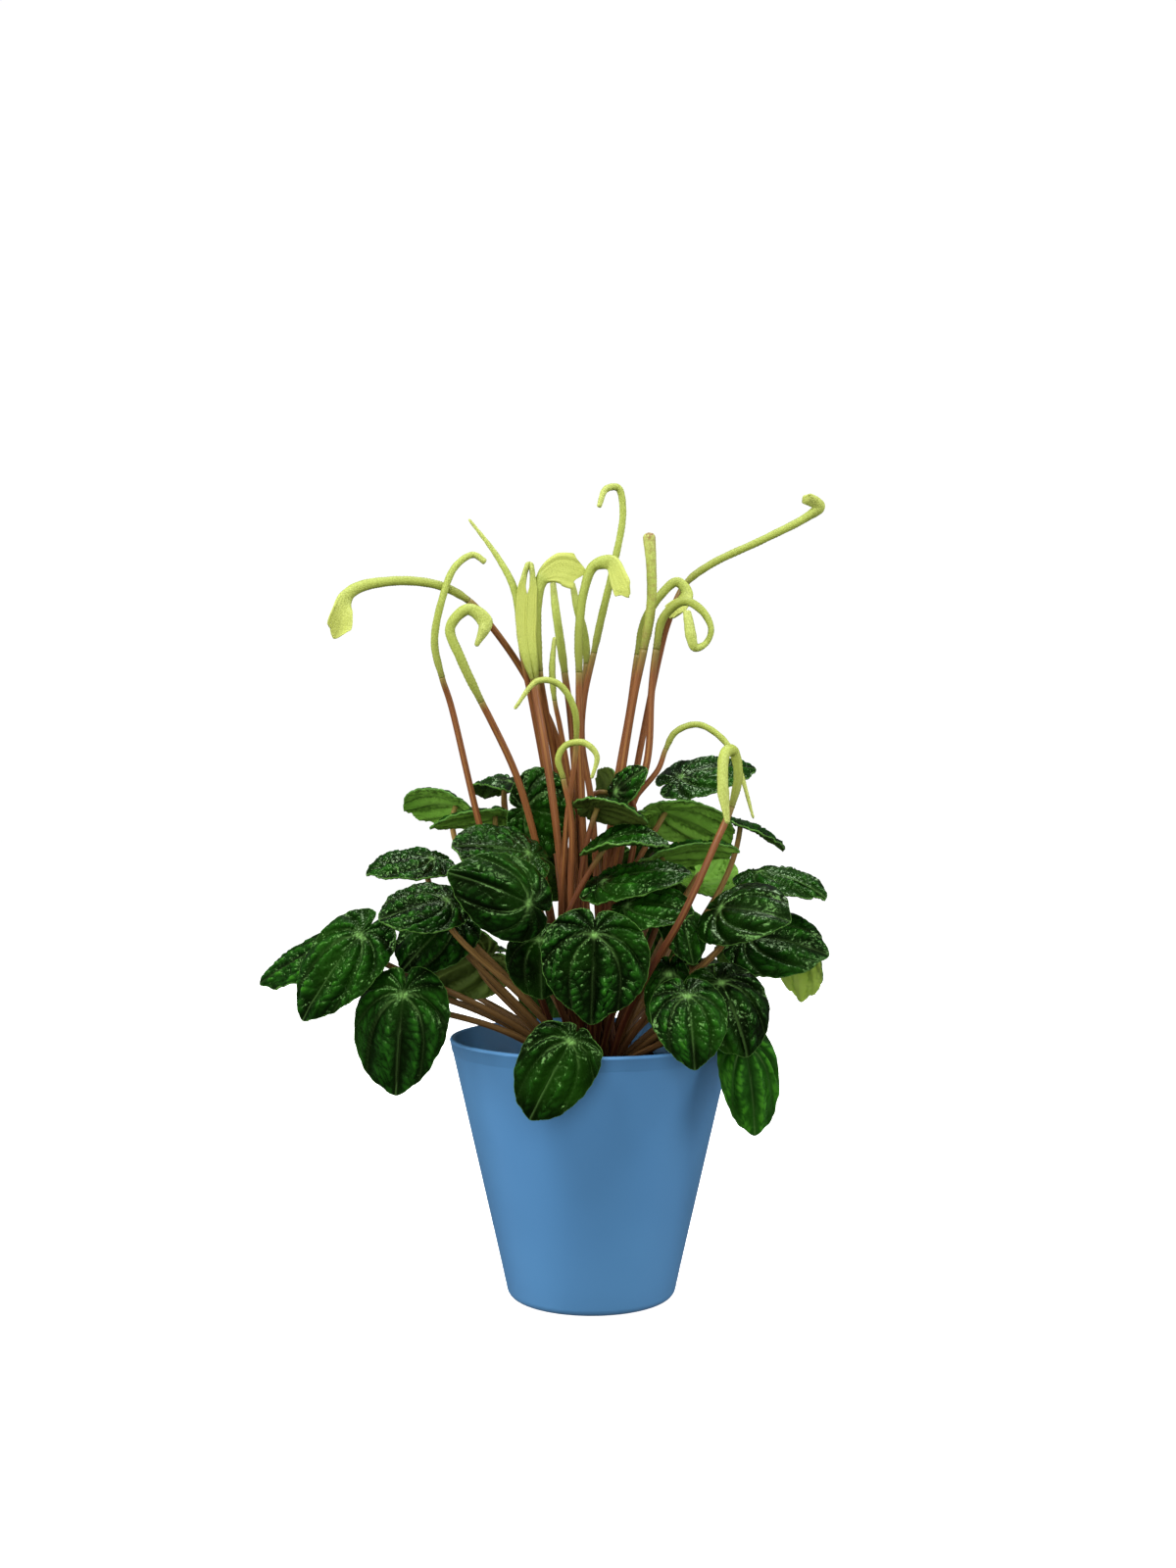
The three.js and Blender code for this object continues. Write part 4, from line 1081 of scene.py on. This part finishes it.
def spikes():
    flesh = spike_flesh()
    for index, group in enumerate(SPIKES):
        name = f"spike_{index + 1:02d}"
        rods = []
        for spike in group:
            rods += [flower_spike(spike, strand) for strand in ((-1, 1) if spike.gap else (0,))]
        dressed(face_out(joined(f"{name}_florets", rods)), "spike", [flesh], name)


# Pot and soil


def pot_radius(z):
    return POT.foot + (POT.rim - POT.foot) * z / POT.height


def arc(centre, radius, start, end):
    """Profile points on an arc, angles in degrees."""
    return [
        (centre[0] + radius * math.cos(math.radians(a)), centre[1] + radius * math.sin(math.radians(a)))
        for a in np.linspace(start, end, ARC_STEPS)
    ]


def turned(name, profile, sides):
    """A turned piece from a profile of (radius, height)."""
    profile = vec(profile)

    def place(u, v):
        radius, height = profile[np.round(v * (len(profile) - 1)).astype(int)].T
        return around(radius, 2 * math.pi * u, height), np.zeros((len(u), 3))

    return face_out(laid_grid(name, sides, len(profile) - 1, place))


def pot():
    """Tapered shell with a rounded heel, a rolled lip and a faint step below it."""
    height, wall, floor, heel = POT.height, POT.wall, POT.floor, POT.heel
    lean = math.degrees(math.atan2(POT.rim - POT.foot, height))
    roll = wall / 2
    profile = POT_BASE + arc((pot_radius(heel) - heel, heel), heel, -90, -lean)
    profile += [(pot_radius(z), z) for z in POT_OUTSIDE]
    profile += [(pot_radius(height - down) + out, height - down) for down, out in POT_STEP]
    profile += arc((pot_radius(height) - roll - LIP_INSET, height - roll), roll, -lean, 180)
    profile += [(pot_radius(z) - wall, z) for z in POT_INSIDE]
    profile += [(pot_radius(floor) - wall - INNER_CORNER, floor), (0, floor)]
    dressed(turned("pot_shell", profile, POT_SIDES), "pot", [pot_plastic()], "pot")


def soil():
    """Compost with a crumbly top, and loose crumbs scattered over it."""
    edge = pot_radius(SOIL_TOP) - POT.wall - SOIL.gap
    level = SOIL_TOP - SOIL.below

    def place(u, v):
        radius = np.interp(v, SOIL_ROWS, [0, edge, SOIL.foot_radius, 0])
        height = np.interp(v, SOIL_ROWS, [level, level, SOIL.foot, SOIL.foot])
        points = around(radius, 2 * math.pi * u, height)
        lumps = sum(tall * grain(points, size, seed) for tall, size, seed in SOIL_LUMPS)
        inside = eased(edge, edge - SOIL.even, radius)
        points[:, 2] += np.where(v <= SOIL_ROWS[1], lumps * inside, 0)
        return points, np.zeros((len(u), 3))

    bed = face_out(laid_grid("soil_bed", 150, 60, place))
    dressed(joined("soil_bed", [bed, *crumbs(edge)]), "soil", [potting_soil()], "soil")


def crumbs(edge):
    """Loose crumbs: one lumpy crumb, copied all over the bed in different sizes."""
    bpy.ops.object.select_all(action="DESELECT")
    bpy.ops.mesh.primitive_ico_sphere_add(subdivisions=1, radius=MM)
    first = bpy.context.object
    shape = np.array([v.co for v in first.data.vertices]) / MM
    shape *= 1 + CRUMB.lump * grain(shape, CRUMB.lump_size)[:, None]
    draw = np.random.default_rng(11)
    made = []
    for _ in range(CRUMB.count):
        radius = edge * math.sqrt(draw.uniform(*CRUMB.spread))
        turn = draw.uniform(0, 2 * math.pi)
        size = draw.uniform(*CRUMB.sizes)
        spin = draw.uniform(0, 2 * math.pi)
        cos, sin = math.cos(spin), math.sin(spin)
        spun = shape @ np.array([[cos, -sin, 0], [sin, cos, 0], [0, 0, CRUMB.flat]])
        crumb = first.copy()
        crumb.data = first.data.copy()
        bpy.context.collection.objects.link(crumb)
        place = around(radius, turn, SOIL_TOP + CRUMB.lift * size)
        crumb.data.vertices.foreach_set("co", ((spun * size + place) * MM).ravel())
        made.append(crumb)
    bpy.data.objects.remove(first)
    return made


# Studio


def studio():
    bpy.ops.object.select_all(action="DESELECT")
    bpy.ops.mesh.primitive_circle_add(vertices=96, radius=6, fill_type="NGON", location=(0, 0, 0))
    floor = bpy.context.object
    floor.name = "studio_floor"
    made, add = new_material("floor_pale_paper")
    where = add("TexCoord").outputs["Object"]
    tone = add("TexNoise", {"Vector": where, "Scale": 0.7, "Detail": 1.0})
    pale = add("ValToRGB", {"Fac": tone}, stops=[(0.3, "#F4F4F3"), (0.7, "#F7F7F6")])
    shader = add(
        "BsdfPrincipled",
        {
            "Base Color": pale, "Roughness": 0.9, "Specular IOR Level": 0.1,
            "Emission Color": "#FFFFFF", "Emission Strength": SURROUND.floor_glow,
        },
    )
    add("OutputMaterial", {"Surface": shader})
    floor.data.materials.append(made)
    floor.visible_diffuse = floor.visible_glossy = False

    world = bpy.data.worlds.new("studio_surround")
    bpy.context.scene.world = world
    world.use_nodes = True
    world.node_tree.nodes.clear()
    add = partial(add_node, world.node_tree)
    seen = add("LightPath").outputs["Is Camera Ray"]
    strength = add("MapRange", {"Value": seen, "To Min": SURROUND.light, "To Max": SURROUND.seen})
    sky = add("Background", {"Color": "#FFFFFF", "Strength": strength})
    add("OutputWorld", {"Surface": sky})

    for name, place, size, watts in LAMPS:
        bpy.ops.object.light_add(type="AREA", location=vec(place) * MM)
        lamp = bpy.context.object
        lamp.name = name
        lamp.data.shape = "DISK"
        lamp.data.size = size * MM
        lamp.data.energy = watts
        lamp.visible_glossy = "softbox" not in name
        aim = Vector(LAMP_AIM) * MM - lamp.location
        lamp.rotation_euler = aim.to_track_quat("-Z", "Y").to_euler()


def camera():
    """Level camera in front of the plant, at the height of its leaves."""
    bpy.ops.object.camera_add(location=vec(CAMERA.place) * MM, rotation=(math.pi / 2, 0, 0))
    made = bpy.context.object
    made.data.lens = CAMERA.lens
    made.data.sensor_width = 36
    made.data.clip_end = 50
    bpy.context.scene.camera = made


pot()
soil()
stalks()
leaves()
spikes()
studio()
camera()
bpy.context.scene.view_settings.view_transform = "Standard"
